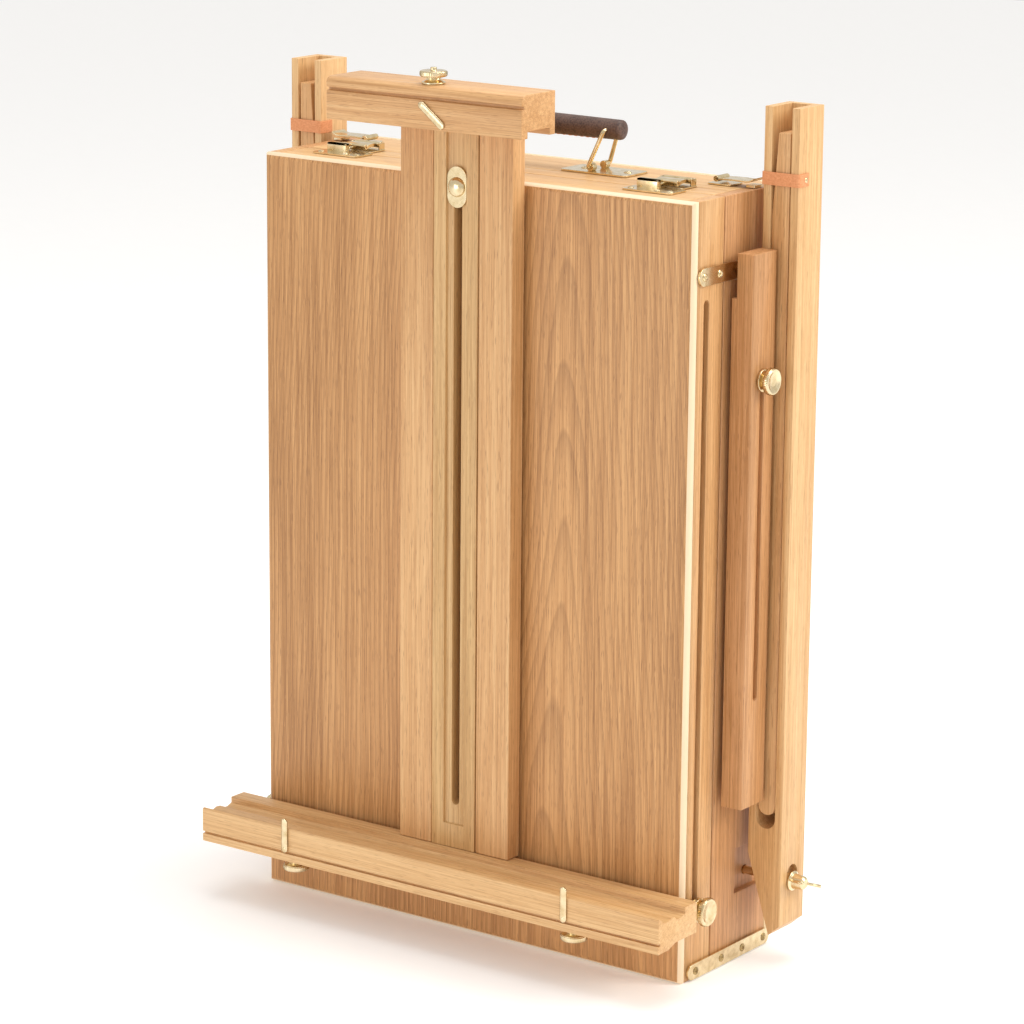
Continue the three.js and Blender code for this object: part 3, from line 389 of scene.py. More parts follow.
def joined(*parts):
    """Several (points, faces) sets as one."""
    points, faces, start = [], [], 0
    for p, f in parts:
        points.append(np.asarray(p))
        faces += [[int(i) + start for i in face] for face in f]
        start += len(p)
    return np.concatenate(points), faces


def slab(outline, near, far, plane):
    """A flat plate: a closed outline carried between two levels. plane names the outline's two axes."""
    outline = np.asarray(outline, float)
    order = {"yz": [2, 0, 1], "xz": [0, 2, 1], "xy": [0, 1, 2]}[plane]
    rings = [np.column_stack([outline, np.full(len(outline), level)])[:, order] for level in (near, far)]
    count = len(outline)
    faces = grid_faces(2, count, wrap=True).tolist()
    faces += [list(range(count))[::-1], [count + i for i in range(count)]]
    return np.concatenate(rings), faces


def stadium(a, b, radius, steps=14):
    """Outline round two end centres: half circles joined by straight sides."""
    a, b = np.asarray(a, float), np.asarray(b, float)
    turn = math.atan2(*(b - a)[::-1])
    first = turn + np.pi / 2 + np.linspace(0, np.pi, steps)
    second = turn - np.pi / 2 + np.linspace(0, np.pi, steps)
    return np.concatenate([a + radius * np.column_stack([np.cos(first), np.sin(first)]),
                           b + radius * np.column_stack([np.cos(second), np.sin(second)])])


def rounded_box(x, y, z, radius=0.8 * MM):
    """A block whose outline in x and y is a rectangle with quarter-circle corners."""
    (x0, x1), (y0, y1) = sorted(x), sorted(y)
    r = min(radius, (x1 - x0) / 2.01, (y1 - y0) / 2.01)
    quarter = np.linspace(0, np.pi / 2, 5)
    corners = [(x1 - r, y1 - r), (x0 + r, y1 - r), (x0 + r, y0 + r), (x1 - r, y0 + r)]
    arcs = []
    for k, corner in enumerate(corners):
        angle = quarter + k * np.pi / 2
        arcs.append(corner + r * np.column_stack([np.cos(angle), np.sin(angle)]))
    return slab(np.concatenate(arcs), min(z), max(z), "xy")


def screw_head(centre, direction, radius=2.9 * MM, dome=1.1 * MM, turn=0.4):
    """A domed cross-recessed screw head. With r from 0 at the middle to 1 at the rim, it stands dome *
    (0.35 + 0.65 (1 - r^2)) over its seat. The recess takes 95% of that away where a point lies within 0.12 of
    an arm of the cross and inside r = 0.56, and runs out over the next 0.08 and 0.1. A last ring closes the
    rim down to the seat."""
    rings, steps = 14, 40
    r = np.linspace(0, 1, rings)[:, None]
    angle = np.linspace(0, 2 * np.pi, steps, endpoint=False)[None, :]
    u, v = r * np.cos(angle + turn), r * np.sin(angle + turn)
    arm = np.minimum(np.abs(u), np.abs(v))
    cut = np.clip((0.2 - arm) / 0.08, 0, 1) * np.clip((0.66 - r) / 0.1, 0, 1)
    height = dome * (0.35 + 0.65 * (1 - r ** 2)) * (1 - 0.95 * cut)
    r = np.concatenate([r, [[1.0]]])
    height = np.concatenate([height * np.ones_like(angle), np.zeros((1, steps))])
    side, up, ahead = axes_for(direction)
    points = (np.asarray(centre)[None, None, :] + (radius * r * np.cos(angle))[..., None] * side
              + (radius * r * np.sin(angle))[..., None] * up + height[..., None] * ahead)
    return points.reshape(-1, 3), grid_faces(rings + 1, steps, wrap=True)


# ---- boards ----

def heart_for(node, along, seed):
    """Where the tree's heart line passes, as two offsets across the grain, about 50 mm behind the board and
    up to 30 mm to a side of its middle, by the board's seed."""
    low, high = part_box(node)
    centre = [(a + b) / 2 for a, b in zip(low, high)]
    across = {"z": (centre[0], centre[1]), "x": (-centre[2], centre[1])}[along]
    swing = math.sin(seed * 2.3)
    return across[0] + 0.03 * swing, across[1] + 0.05 + 0.02 * math.cos(seed * 1.7)


# Each solid board: the axis that its grain lies along, and its wood.
BOARDS = {
    # The case sides and outer stays take the darker beech, which is partly painted shade.
    "box_side_left": ("z", WARM_SHADED_BEECH),
    "box_side_right": ("z", WARM_SHADED_BEECH),
    "box_end_board": ("x", BEECH),
    "box_front_rail": ("x", PALE_BEECH),
    "drawer_front": ("x", PALE_BEECH),
    "lid_side_left": ("z", BEECH),
    "lid_side_right": ("z", BEECH),
    "lid_top_rail": ("x", PALE_BEECH),
    "lid_bottom_rail": ("x", BEECH),
    "tray": ("x", PALE_BEECH),
    "clamp_head": ("x", BEECH),
    "mast_rail_left": ("z", BEECH),
    "mast_rail_right": ("z", BEECH),
    "stay_outer_left": ("z", WARM_SHADED_BEECH),
    "stay_outer_right": ("z", WARM_SHADED_BEECH),
    "stay_inner_left": ("z", PALE_BEECH),
    "stay_inner_right": ("z", PALE_BEECH),
    "leg_left": ("z", PALE_BEECH),
    "leg_right": ("z", PALE_BEECH),
    "leg_rear": ("z", BEECH),
    "leg_foot_left": ("z", BEECH),
    "leg_foot_right": ("z", BEECH),
    "leg_foot_rear": ("z", PALE_BEECH),
    "rear_leg_bracket": ("z", BEECH),
}
PLYWOOD = ("box_back_panel", "palette", "drawer_tray")
SLAT_SEED, PANEL_SEED, PLYWOOD_SEEDS = 31, 7, 41
PANEL_HEART = (0.082, -0.012)  # just behind the panel's right half, whose face it cuts into arches
for seed, (node, (along, tones)) in enumerate(BOARDS.items(), start=1):
    wood = timber("lacquered_beech_" + node, along, tones, heart_for(node, along, seed), seed)
    eased_copy(node, wood, 0.9 * MM)

slat_wood = timber("lacquered_pale_beech_slat", "z", SLAT, heart_for("mast_slat", "z", SLAT_SEED), SLAT_SEED,
                   ring=2.6)
eased_copy("mast_slat", slat_wood, 0.6 * MM)
panel_wood = timber("elm_veneer_panel", "z", VENEER, PANEL_HEART, PANEL_SEED, ring=4.2, figure=0.46,
                    wander=1.1, taper=0.055, edge=pale_core)
eased_copy("lid_panel", panel_wood, 0.3 * MM, segments=2)
for seed, node in enumerate(PLYWOOD, start=PLYWOOD_SEEDS):
    ply = timber("birch_plywood_" + node, "z", PLY, heart_for(node, "z", seed), seed, ring=6.0, wander=1.6)
    eased_copy(node, ply, 0.5 * MM, segments=2)


# ---- straps, plates and screws ----

def put(name, shape, node=None, body=None, material=BRASS, slot="brass", ease=0.25 * MM):
    """A finished piece with its edges eased. It takes the place of a CAD node, or else rides on a body."""
    piece = mesh_piece(name, *shape, material, body or NODE_BODY[node], slot)
    if node:
        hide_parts(node)
    return soften(piece, ease, 2) if ease else piece


def inner_and_outer(node, side):
    """The x of a node's faces nearest to the middle of the easel and farthest from it."""
    low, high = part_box(node)
    near, far = sorted((abs(low[0]), abs(high[0])))
    return side * near, side * far


HEAD_RISE = 0.9 * MM
PLATE_THICKNESS = 2 * MM
PIN = 2 * MM
STAY_PIN = 2.5 * MM
STRAP_SCREWS = (10 * MM, 44.2 * MM, 72.2 * MM, 101 * MM)  # back from the strap's front end
STAY_PLATE_SCREWS = (6.5 * MM, 25.6 * MM)  # back from the plate's front end


def pinned_plate(node, side, near, far, pin_y, pin_radius, pin_from, pin_to):
    """A flat plate with round ends between two levels of x, and a pin across it."""
    low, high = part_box(node)
    radius = (high[2] - low[2]) / 2
    z = (high[2] + low[2]) / 2
    plate = slab(stadium((low[1] + radius, z), (high[1] - radius, z), radius), near, far, "yz")
    length = abs(pin_to - pin_from)
    profile = [(0, 0), (pin_radius, 0), (pin_radius, length), (0, length)]
    pin = turned(profile, (pin_from, pin_y, z), (side, 0, 0), 24)
    put(node + "_plate", joined(plate, pin), node)
    return z


def hinge_strap(word, side):
    """Flat strap with round ends, screwed to the case side; the front screw is the lid's pivot."""
    node = "hinge_strap_" + word
    inner, outer = inner_and_outer(node, side)
    far = outer - side * HEAD_RISE
    near = far - side * PLATE_THICKNESS
    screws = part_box(node)[0][1] + np.array(STRAP_SCREWS)
    z = pinned_plate(node, side, near, far, screws[0], PIN, inner, far)
    for i, y in enumerate(screws):
        head = screw_head((far, y, z), (side, 0, 0), turn=0.5 * i)
        put(f"{node}_screw_{i + 1}", head, body="case", material=DULL_BRASS, ease=0)


def stay_plate(word, side):
    """Plate on the lid side that carries the stay's pivot pin on its tongue."""
    node = "stay_plate_" + word
    near, outer = inner_and_outer(node, side)
    far = near + side * PLATE_THICKNESS
    z = pinned_plate(node, side, near, far, 0, STAY_PIN, near, outer)
    for i, y in enumerate(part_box(node)[0][1] + np.array(STAY_PLATE_SCREWS)):
        head = screw_head((far, y, z), (side, 0, 0), turn=0.3 + i)
        put(f"{node}_screw_{i + 1}", head, body="lid", ease=0)


for word, side in SIDES.items():
    hinge_strap(word, side)
    stay_plate(word, side)


# ---- knobs, nuts and wing screws ----
KNOB_HEIGHT = 10 * MM
WING_TIP = 19 * MM  # how far the ears reach out from the wood
WING_LEAN = math.radians(70)  # how far the ears are turned from upright


def thumb_knob(node, direction, bolt, scale=1.0):
    """Turned thumb knob on its bolt: seat flange, waist and a knurled disc with a smooth dished face."""
    low, high = [Vector(v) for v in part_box(node)]
    axis = Vector(direction)
    outer = max(low.dot(axis), high.dot(axis))
    foot = (low + high) / 2
    foot += axis * (outer - KNOB_HEIGHT - foot.dot(axis))
    flange, neck, disc = 8.5 * MM * scale, 5.2 * MM, 10 * MM * scale
    shank = 2.4 * MM
    profile = [(0, -bolt), (shank, -bolt), (shank, 0), (flange, 0), (flange, 1.9 * MM), (neck, 3 * MM),
               (neck, 5 * MM), (disc - MM, 5.3 * MM), (disc, 6.2 * MM), (disc, 8.8 * MM),
               (disc - MM, 9.8 * MM), (0.78 * disc, 9.7 * MM), (0.6 * disc, 9.2 * MM),
               (0.35 * disc, 8.8 * MM), (0, 8.7 * MM)]
    shape = turned(profile, foot, axis, 120, (5.6 * MM, 9.4 * MM, 44, 0.55 * MM))
    put(node + "_knurled", shape, node, ease=0)


def thumb_nut(node, up, bolt):
    """Thumb nut on a bolt: wide foot, waist, knurled disc, and the bolt's end standing above it."""
    low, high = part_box(node)
    x, y = (low[0] + high[0]) / 2, (low[1] + high[1]) / 2
    seat = (low[2] + bolt) if up > 0 else (high[2] - bolt)
    shank, foot, disc = 2.3 * MM, 8.5 * MM, 9.9 * MM
    profile = [(0, -bolt), (shank, -bolt), (shank, 0), (foot, 0), (foot, 1.2 * MM), (5.4 * MM, 2.6 * MM),
               (4.9 * MM, 4 * MM), (9.0 * MM, 5 * MM), (disc, 5.8 * MM), (disc, 8.4 * MM),
               (9.1 * MM, 9.2 * MM), (2.4 * MM, 9.3 * MM), (shank, 11.5 * MM), (0, 11.6 * MM)]
    shape = turned(profile, (x, y, seat), (0, 0, up), 120, (5.2 * MM, 8.9 * MM, 40, 0.5 * MM))
    put(node + "_knurled", shape, node, ease=0)


def wing_ear(foot, axis, spread):
    """A cast ear: an ellipse carried from the hub outwards, 1.25 mm thick to each side. At t along the way
    its half width is 2.4 + 2.8 sin(pi (0.85 t + 0.1)) mm, closed at the tip by the factor
    sqrt(1.02 - t^6)."""
    t = np.linspace(0, 1, 16)
    path = foot + np.outer((4 + 13 * t ** 1.2) * MM, axis) + np.outer((3 + 11 * t) * MM, spread)
    points, faces = swept(path, circle(1.0))
    width = (2.4 + 2.8 * np.sin(np.pi * np.clip(t * 0.85 + 0.1, 0, 1))) * MM
    width = width * np.sqrt(np.clip(1.02 - t ** 6, 0, 1))
    offset = points.reshape(len(path), -1, 3) - path[:, None, :]
    flat = np.cross(axis, spread)
    thin = (offset @ flat)[..., None] * flat
    shaped = path[:, None, :] + (offset - thin) * width[:, None, None] + thin * 1.25 * MM
    return shaped.reshape(-1, 3), faces


def wing_screw(node, side, hub_depth):
    """Wing screw: bolt, seat flange, tapered hub and two ears that lean round the bolt as they were left when
    it was last tightened. The hub goes into its hole by hub_depth."""
    low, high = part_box(node)
    axis = np.array([side, 0, 0])
    tip = side * (high[0] if side > 0 else low[0])
    bolt_end = side * (low[0] if side > 0 else high[0])
    seat = tip - WING_TIP
    foot = np.array([side * seat, (low[1] + high[1]) / 2, (low[2] + high[2]) / 2])
    length = seat - bolt_end
    shank, flange = 3 * MM, 7.5 * MM
    profile = [(0, -length), (shank, -length), (shank, -hub_depth), (5.6 * MM, -hub_depth),
               (6.2 * MM, 0.3 * MM), (flange, 0.35 * MM), (flange, 1.5 * MM), (5.7 * MM, 2.4 * MM),
               (4.9 * MM, 10.5 * MM), (3.2 * MM, 12 * MM), (0, 12 * MM)]
    spread = np.array([0, -math.sin(WING_LEAN), math.cos(WING_LEAN)])
    ears = [wing_ear(foot, axis, sign * spread) for sign in (-1, 1)]
    put(node + "_cast", joined(turned(profile, foot, axis), *ears), node, ease=0)


for word, side in SIDES.items():
    thumb_knob("carrier_knob_" + word, (side, 0, 0), 16 * MM, 1.08)
    thumb_knob("stay_knob_" + word, (side, 0, 0), 14 * MM)
    thumb_nut("tray_nut_" + word, -1, 5.7 * MM)
    wing_screw("leg_wing_" + word, side, 4 * MM)
thumb_nut("clamp_nut", 1, 9.7 * MM)
wing_screw("leg_wing_rear", 1, 0)


# ---- clips, bails and grip ----
CLIP_HALF, CLIP_REACH, CLIP_THICKNESS = 2.7 * MM, 27 * MM, 1.2 * MM
CLIP_CROWN = 0.45 * MM
CLIP_PIN, CLIP_PIN_LENGTH = 1.6 * MM, 7.6 * MM
CLAMP_CLIP_TURN = math.radians(127)
WIRE = 1.6 * MM
GRIP = 7.3 * MM
STITCH_PITCH, STITCH_HALF = 5.2 * MM, 1.7 * MM


def clip_blade():
    """Blade of a flat clip, upright from its pin. u runs across it from -1 to 1. The half width w falls as
    sqrt(1 - e^2) over each round end, where e runs from 0 to 1, and the face stands
    crown * (1 - (u w / half)^2) proud. The back is flat and a rim joins the two."""
    rows, columns = 25, 9
    u = np.linspace(-1, 1, columns)[None, :]
    along = -CLIP_HALF + np.linspace(0, 1, rows)[:, None] * CLIP_REACH
    past_end = np.maximum(-along, along - (CLIP_REACH - 2 * CLIP_HALF)) / CLIP_HALF
    width = CLIP_HALF * np.sqrt(1 - np.clip(past_end, 0, 1) ** 2) + 1e-6
    across = u * width
    crown = CLIP_CROWN * (1 - (across / CLIP_HALF) ** 2)
    face = np.stack([across, 0.4 * MM - CLIP_THICKNESS - crown, along + 0 * across], axis=-1).reshape(-1, 3)
    grid = grid_faces(rows, columns)
    index = np.arange(rows * columns).reshape(rows, columns)
    rim = np.concatenate([index[:, 0], index[-1, 1:], index[-2::-1, -1], index[0, -2:0:-1]])
    after = np.roll(rim, -1)
    count = len(face)
    wall = np.stack([rim, after, after + count, rim + count], axis=-1)
    faces = np.concatenate([grid, grid[:, ::-1] + count, wall])
    return np.concatenate([face, face * (1, 0, 1)]), faces.tolist()


def flat_clip(node, angle):
    """Flat brass clip: a blade along the face of the wood, a pin into it and a riveted pin head, all turned
    about the pin."""
    low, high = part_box(node)
    front = low[1] + CLIP_THICKNESS
    spin = np.array(Matrix.Rotation(angle, 3, "Y"))
    end = spin @ (0, 0, CLIP_REACH - CLIP_HALF)
    middle = (np.array(low) + np.array(high)) / 2
    pivot = np.array([middle[0] - end[0] / 2, 0, middle[2] - end[2] / 2])
    points, faces = clip_blade()
    blade = points @ spin.T + pivot + (0, front, 0)
    pin = turned([(0, 0), (CLIP_PIN, 0), (CLIP_PIN, CLIP_PIN_LENGTH), (0, CLIP_PIN_LENGTH)],
                 pivot + (0, front, 0), (0, 1, 0), 24)
    head = turned([(0, 0), (1.9 * MM, 0), (1.5 * MM, 0.35 * MM), (0, 0.5 * MM)],
                  pivot + (0, low[1] + 0.2 * MM, 0), (0, -1, 0), 24)
    put(node + "_blade", joined((blade, faces), pin, head), node, ease=0)


def handle_bail(word, side):
    """Bent wire bail with inturned feet, narrowing from the plate to the grip."""
    node = "handle_bail_" + word
    low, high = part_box(node)
    foot = np.array([inner_and_outer(node, side)[0] + side * WIRE, (low[1] + high[1]) / 2, low[2] + WIRE])
    points = [(0, -6.5, 0), (0, -14, 0), (side * 11, -9.8, 27.5), (side * 11, 9.8, 27.5), (0, 14, 0),
              (0, 6.5, 0)]
    path = rounded(np.array(points) * MM, 3.2 * MM, 8) + foot
    put(node + "_wire", swept(path, circle(WIRE)), node, ease=0)


def handle_grip():
    """Rolled leather grip. Its radius swells by 5% in the middle, loses 0.5 mm in a lapped seam along the
    underside, and closes over the last 4 mm by the factor sqrt(1 - e^5). A line of stitches, each a thread
    bowed by 0.25 mm, runs on each side of the seam."""
    low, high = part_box("handle_grip")
    centre = np.array([0.0, (low[1] + high[1]) / 2, (low[2] + high[2]) / 2])
    half = (high[0] - low[0]) / 2
    rows, columns, closing, seam = 121, 64, 4 * MM, 1.5 * np.pi
    t = np.sin(np.linspace(-1, 1, rows) * np.pi / 2)[:, None]
    angle = np.linspace(0, 2 * np.pi, columns, endpoint=False)[None, :]
    end = np.clip((np.abs(t) * half - (half - closing)) / closing, 0, 1)
    swell = GRIP * np.sqrt(np.clip(1 - end ** 5, 0, 1)) * (1 + 0.05 * np.cos(t * np.pi / 2))
    lap = 0.5 * MM * np.exp(-((angle - seam) / 0.12) ** 2)
    r = np.maximum(swell - lap * (1 - end), 1e-6)
    points = np.stack([centre[0] + t * half + 0 * angle, centre[1] + r * np.cos(angle),
                       centre[2] + r * np.sin(angle)], axis=-1)
    put("handle_grip_leather", (points.reshape(-1, 3), grid_faces(rows, columns, wrap=True)), "handle_grip",
        material=LEATHER, slot="grip_leather", ease=0)
    stitches = []
    bow = np.linspace(-1, 1, 7)
    for x in np.arange(-60 * MM, 60 * MM, STITCH_PITCH):
        for lean in (-0.42, 0.42):
            out = np.array([0, math.cos(seam + lean), math.sin(seam + lean)])
            path = centre + out * (GRIP + 0.12 * MM) + np.outer(0.25 * MM * (1 - bow ** 2), out)
            path[:, 0] += x + bow * STITCH_HALF
            stitches.append(swept(path, circle(0.35 * MM, 8)))
    put("handle_grip_stitches", joined(*stitches), body="grip", material=STRAP, slot="grip_leather", ease=0)


for word, side in SIDES.items():
    flat_clip("tray_clip_" + word, 0.0)
    handle_bail(word, side)
flat_clip("clamp_clip", CLAMP_CLIP_TURN)
handle_grip()


# ---- plates and latches on the handle end ----
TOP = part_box("handle_plate_left")[0][2]  # the level that the plates lie on
HANDLE_PLATE_THICKNESS = 1.4 * MM
BASE_THICKNESS = 1.1 * MM
HANDLE_SCREWS = (12.3 * MM, 49.6 * MM)  # out from the plate's inner end
KNUCKLE, BARREL = 3.0 * MM, 2.2 * MM
STRIKE_SCREWS = (-16.5 * MM, 6.0 * MM, 16.5 * MM)
HOOK_SHIFT, HOOK_HALF, HOOK_TOP = 6.5 * MM, 9 * MM, 7.2 * MM
LEVER_HALF, LEVER_REACH = 10.5 * MM, 16.5 * MM
LOOP_HALF, LOOP_RISE = 6 * MM, 3.4 * MM
DRAWER_LEVER_REACH = 31 * MM


def handle_plate(word, side):
    """Plate with two pierced knuckles rolled from its edge, and two screws."""
    node = "handle_plate_" + word
    low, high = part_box(node)
    y = (low[1] + high[1]) / 2
    bail_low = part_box("handle_bail_" + word)[0]
    pivot = (inner_and_outer("handle_bail_" + word, side)[0] + side * WIRE, bail_low[2] + WIRE)
    surface = TOP + HANDLE_PLATE_THICKNESS
    parts = [rounded_box((low[0], high[0]), (low[1], high[1]), (TOP, surface), 3 * MM)]
    for way in (-1, 1):
        ring = circle(KNUCKLE, 28) + np.array(pivot)
        parts.append(slab(ring, y + way * 6 * MM, y + way * 11 * MM, "xz"))
    put(node + "_rolled", joined(*parts), node)
    for i, place in enumerate(HANDLE_SCREWS):
        x = inner_and_outer(node, side)[0] + side * place
        head = screw_head((x, y, surface), (0, 0, 1), turn=0.2 + i)
        put(f"{node}_screw_{i + 1}", head, body="drawer", ease=0)


def latch_strike(word, x, hook):
    """Strike on the lid: a screwed base with a hooked block standing on it."""
    node = "latch_strike_" + word
    low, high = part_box(node)
    front, surface = low[1] + 11 * MM, TOP + BASE_THICKNESS
    across = (hook - HOOK_HALF, hook + HOOK_HALF)
    base = rounded_box((low[0], high[0]), (low[1], high[1]), (TOP, surface), 2.5 * MM)
    block = rounded_box(across, (front, front + 4.6 * MM), (TOP, TOP + HOOK_TOP))
    lip = rounded_box(across, (front, front + 7.2 * MM), (TOP + HOOK_TOP - 1.2 * MM, TOP + HOOK_TOP))
    put(node + "_hooked", joined(base, block, lip), node)
    for i, place in enumerate(STRIKE_SCREWS):
        head = screw_head((x + place, low[1] + 5.6 * MM, surface), (0, 0, 1), 2.3 * MM, 0.9 * MM, 0.7 * i)
        put(f"{node}_screw_{i + 1}", head, body="lid", ease=0)


def latch_lever(word, x, hook, hinge):
    """Lever that rises by 1.6 sin(pi t) mm over its length, with its barrel, rolled end and wire loop."""
    t = np.linspace(0, 1, 16)
    arch = np.column_stack([hinge - LEVER_REACH * t, TOP + 4.6 * MM + 1.6 * MM * np.sin(np.pi * t)])
    under = arch[::-1] - np.array([0, 2.6 * MM])
    plate = slab(np.concatenate([arch, under]), x - LEVER_HALF, x + LEVER_HALF, "yz")
    barrel = slab(circle(BARREL, 24) + np.array([hinge, TOP + 4.2 * MM]), x - 12 * MM, x + 12 * MM, "yz")
    end = circle(1.5 * MM) + np.array([hinge - LEVER_REACH, TOP + 4.6 * MM])
    rolled = slab(end, x - LEVER_HALF, x + LEVER_HALF, "yz")
    near, far, z = hinge - 11.5 * MM, hinge - 24 * MM, TOP + LOOP_RISE
    corners = [(hook + LOOP_HALF, near, z), (hook + LOOP_HALF, far, z), (hook - LOOP_HALF, far, z),
               (hook - LOOP_HALF, near, z)]
    loop = swept(rounded(corners, 2 * MM, 6), circle(1.0 * MM, 14))
    put(f"latch_lever_{word}_toggle", joined(plate, barrel, rolled, loop), "latch_lever_" + word)


def lid_latch(word):
    """Toggle catch: a hooked strike on the lid; on the case a base with two ears, and a lever."""
    low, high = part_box("latch_strike_" + word)
    x = (low[0] + high[0]) / 2
    hook = x - HOOK_SHIFT
    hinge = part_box("latch_lever_" + word)[1][1] - BARREL
    latch_strike(word, x, hook)
    back = hinge + 2.3 * MM
    parts = [rounded_box((x - 15 * MM, x + 15 * MM), (hinge - 18.1 * MM, back), (TOP, TOP + BASE_THICKNESS),
                         2 * MM)]
    for way in (-1, 1):
        parts.append(rounded_box((x + way * 12.3 * MM, x + way * 13.6 * MM), (hinge - 4 * MM, back),
                                 (TOP, TOP + 6 * MM), 0.3 * MM))
    put("latch_base_" + word, joined(*parts), body="case")
    latch_lever(word, x, hook, hinge)


def drawer_latch(word, side):
    """Small drawer catch: base on the drawer, keeper on the case, and a lever with a turned-up thumb end. The
    lever rises by 0.5 sin(pi t) mm over its length and by 2.4 mm, as a square, over its last fifth."""
    node = "drawer_lever_" + word
    low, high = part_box(node)
    y0, y1 = low[1], high[1]
    hinge = inner_and_outer(node, side)[0] + side * BARREL
    base = rounded_box((hinge - side * 7 * MM, hinge + side * 13 * MM), (y0 - MM, y1 + MM),
                       (TOP, TOP + BASE_THICKNESS), 2 * MM)
    put("drawer_latch_base_" + word, base, body="drawer")
    keeper = rounded_box((hinge + side * 23.5 * MM, hinge + side * 31.5 * MM), (y0 + 2 * MM, y1 - 2 * MM),
                         (TOP, TOP + 2 * MM), 1 * MM)
    put("drawer_latch_keeper_" + word, keeper, body="case")
    t = np.linspace(0, 1, 18)
    turned_up = 2.4 * MM * np.clip((t - 0.8) / 0.2, 0, 1) ** 2
    rise = TOP + 4.6 * MM + 0.5 * MM * np.sin(np.pi * t) + turned_up
    top = np.column_stack([hinge + side * DRAWER_LEVER_REACH * t, rise])
    arm = slab(np.concatenate([top, top[::-1] - np.array([0, 1.2 * MM])]), y0, y1, "xz")
    barrel = slab(circle(BARREL, 24) + np.array([hinge, TOP + 4.2 * MM]), y0, y1, "xz")
    put(node + "_catch", joined(arm, barrel), node)


for word, side in SIDES.items():
    handle_plate(word, side)
    lid_latch(word)
    drawer_latch(word, side)


# ---- mast bolt, brackets, leg straps ----
SLAT_GROOVE = 2.2 * MM  # depth of the groove that the washer lies in
WASHER_THICKNESS = 1.5 * MM
BOLT_HEAD, BOLT_DOME = 7.2 * MM, 3.8 * MM
BRIDGE_HALF, BRIDGE_THICKNESS = 11.5 * MM, 2 * MM
STRAP_THICKNESS, STRAP_HALF = 1.1 * MM, 4.6 * MM
STRAP_DOWN = 50.5 * MM  # from the leg's top


def mast_bolt():
    """Round-headed bolt on an oblong washer in the slat's groove, with its bridge plate behind the slat. The
    head's section is a quarter of an ellipse."""
    low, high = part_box("mast_bolt")
    z = (low[2] + high[2]) / 2
    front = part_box("mast_slat")[0][1] + SLAT_GROOVE
    face = front - WASHER_THICKNESS
    washer = slab(stadium((0, z - 6.5 * MM), (0, z + 6.5 * MM), 8.5 * MM), front, face, "xz")
    angle = np.linspace(np.pi / 2, 0, 12)
    dome = np.column_stack([BOLT_HEAD * np.sin(angle), BOLT_DOME * np.cos(angle)])
    head = turned(np.concatenate([[(0, 0), (BOLT_HEAD, 0)], dome[1:]]), (0, face, z), (0, -1, 0), 64)
    shaft = turned([(0, 0), (3 * MM, 0), (3 * MM, 11.5 * MM), (0, 11.5 * MM)], (0, front, z), (0, 1, 0), 32)
    corners = [(low[0], z - BRIDGE_HALF), (high[0], z - BRIDGE_HALF), (high[0], z + BRIDGE_HALF),
               (low[0], z + BRIDGE_HALF)]
    bridge = slab(corners, high[1] - BRIDGE_THICKNESS, high[1], "xz")
    put("mast_bolt_washer", joined(washer, shaft, bridge), "mast_bolt")
    put("mast_bolt_head", head, body="carrier", ease=0)


def leg_strap(word, side):
    """Dyed fibre strip that wraps the leg's front and both its sides and keeps the foot in its channel."""
    leg = "leg_" + word
    low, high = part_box(leg)
    z = high[2] - STRAP_DOWN
    inner, outer = inner_and_outer(leg, side)
    out = 0.15 * MM + STRAP_THICKNESS / 2
    near, far = inner - side * out, outer + side * out
    front, back = low[1] - out, low[1] + 12 * MM
    route = rounded([(near, back, z), (near, front, z), (far, front, z), (far, back, z)], 1.6 * MM, 5)
    half = STRAP_THICKNESS / 2
    section = [(-half, -STRAP_HALF), (half, -STRAP_HALF), (half, STRAP_HALF), (-half, STRAP_HALF)]
    put("leg_strap_" + word, swept(route, section), body=NODE_BODY[leg], material=STRAP, slot="beech")
    tack = screw_head((far + side * half, low[1] + 8 * MM, z), (side, 0, 0), 2.0 * MM, 0.8 * MM)
    put(f"leg_strap_{word}_tack", tack, body=NODE_BODY[leg], ease=0)


mast_bolt()
for word, side in SIDES.items():
    leg_strap(word, side)
    eased_copy("tray_bracket_" + word, BRASS, 0.3 * MM, segments=2)


# ---- stage, light and camera ----

def area_light(name, place, target, size, power, colour="#ffffff"):
    """A soft rectangular light at a place, turned to face a target."""
    data = bpy.data.lights.new(name, "AREA")
    data.shape = "RECTANGLE"
    data.size, data.size_y = size
    data.energy = power
    data.color = linear(colour)[:3]
    lamp = bpy.data.objects.new(name, data)
    lamp.location = place
    lamp.rotation_euler = (Vector(target) - Vector(place)).to_track_quat("-Z", "Y").to_euler()
    bpy.context.scene.collection.objects.link(lamp)


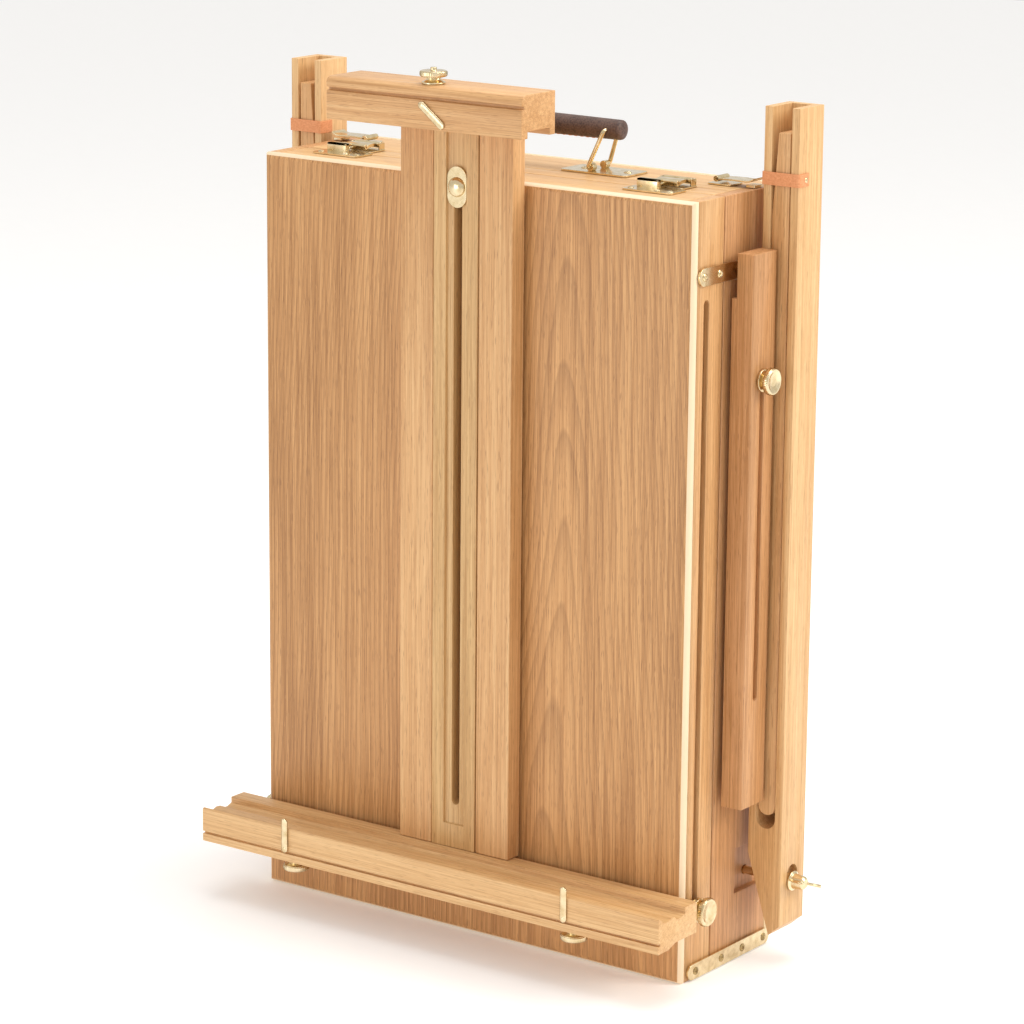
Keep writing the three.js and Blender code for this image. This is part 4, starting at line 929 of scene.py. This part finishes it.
def studio():
    """Pale paper floor just under the feet, a bright even room, a key from behind on the right, a soft light
    above and a fill from the front left."""
    reach, level = 6.0, -0.6 * MM
    corners = [(-reach, -reach, level), (reach, -reach, level), (reach, reach, level), (-reach, reach, level)]
    mesh = bpy.data.meshes.new("studio_floor")
    mesh.from_pydata(corners, [], [(0, 1, 2, 3)])
    mesh.materials.append(studio_paper("white_paper_sweep"))
    floor = bpy.data.objects.new("studio_floor", mesh)
    bpy.context.scene.collection.objects.link(floor)
    world = bpy.data.worlds.new("bright_room")
    world.use_nodes = True
    world.node_tree.nodes["Background"].inputs["Color"].default_value = linear("#fdfcfa")
    world.node_tree.nodes["Background"].inputs["Strength"].default_value = 0.8
    bpy.context.scene.world = world
    area_light("key_right_rear", (2.4, 0.9, 1.7), (0, 0, 0.35), (1.1, 1.1), 34, "#fffaf2")
    area_light("top_soft", (0.2, 0.2, 2.6), (0, 0, 0.3), (1.6, 1.6), 30)
    area_light("front_fill", (-0.8, -2.8, 0.45), (0, 0, 0.15), (1.4, 1.0), 12)


CAMERA_PLACE = (1.6323, -2.2639, 0.9901)
CAMERA_ANGLES = (35.861, 13.661, 0.483)  # azimuth, elevation and roll, in degrees
CAMERA_LENS, CAMERA_SENSOR = 135.9, 36.0  # mm


def camera():
    """Long lens from the front right, slightly above the object."""
    azimuth, elevation, roll = (math.radians(v) for v in CAMERA_ANGLES)
    back = Vector((math.sin(azimuth) * math.cos(elevation), -math.cos(azimuth) * math.cos(elevation),
                   math.sin(elevation)))
    level = Vector((math.cos(azimuth), math.sin(azimuth), 0))
    up = back.cross(level)
    right = level * math.cos(roll) + up * math.sin(roll)
    up = up * math.cos(roll) - level * math.sin(roll)
    data = bpy.data.cameras.new("camera")
    data.lens = CAMERA_LENS
    data.sensor_width = CAMERA_SENSOR
    cam = bpy.data.objects.new("camera", data)
    turn = Matrix((right, up, back)).transposed().to_4x4()
    cam.matrix_world = Matrix.Translation(CAMERA_PLACE) @ turn
    bpy.context.scene.collection.objects.link(cam)
    bpy.context.scene.camera = cam


studio()
camera()
bpy.context.view_layer.update()
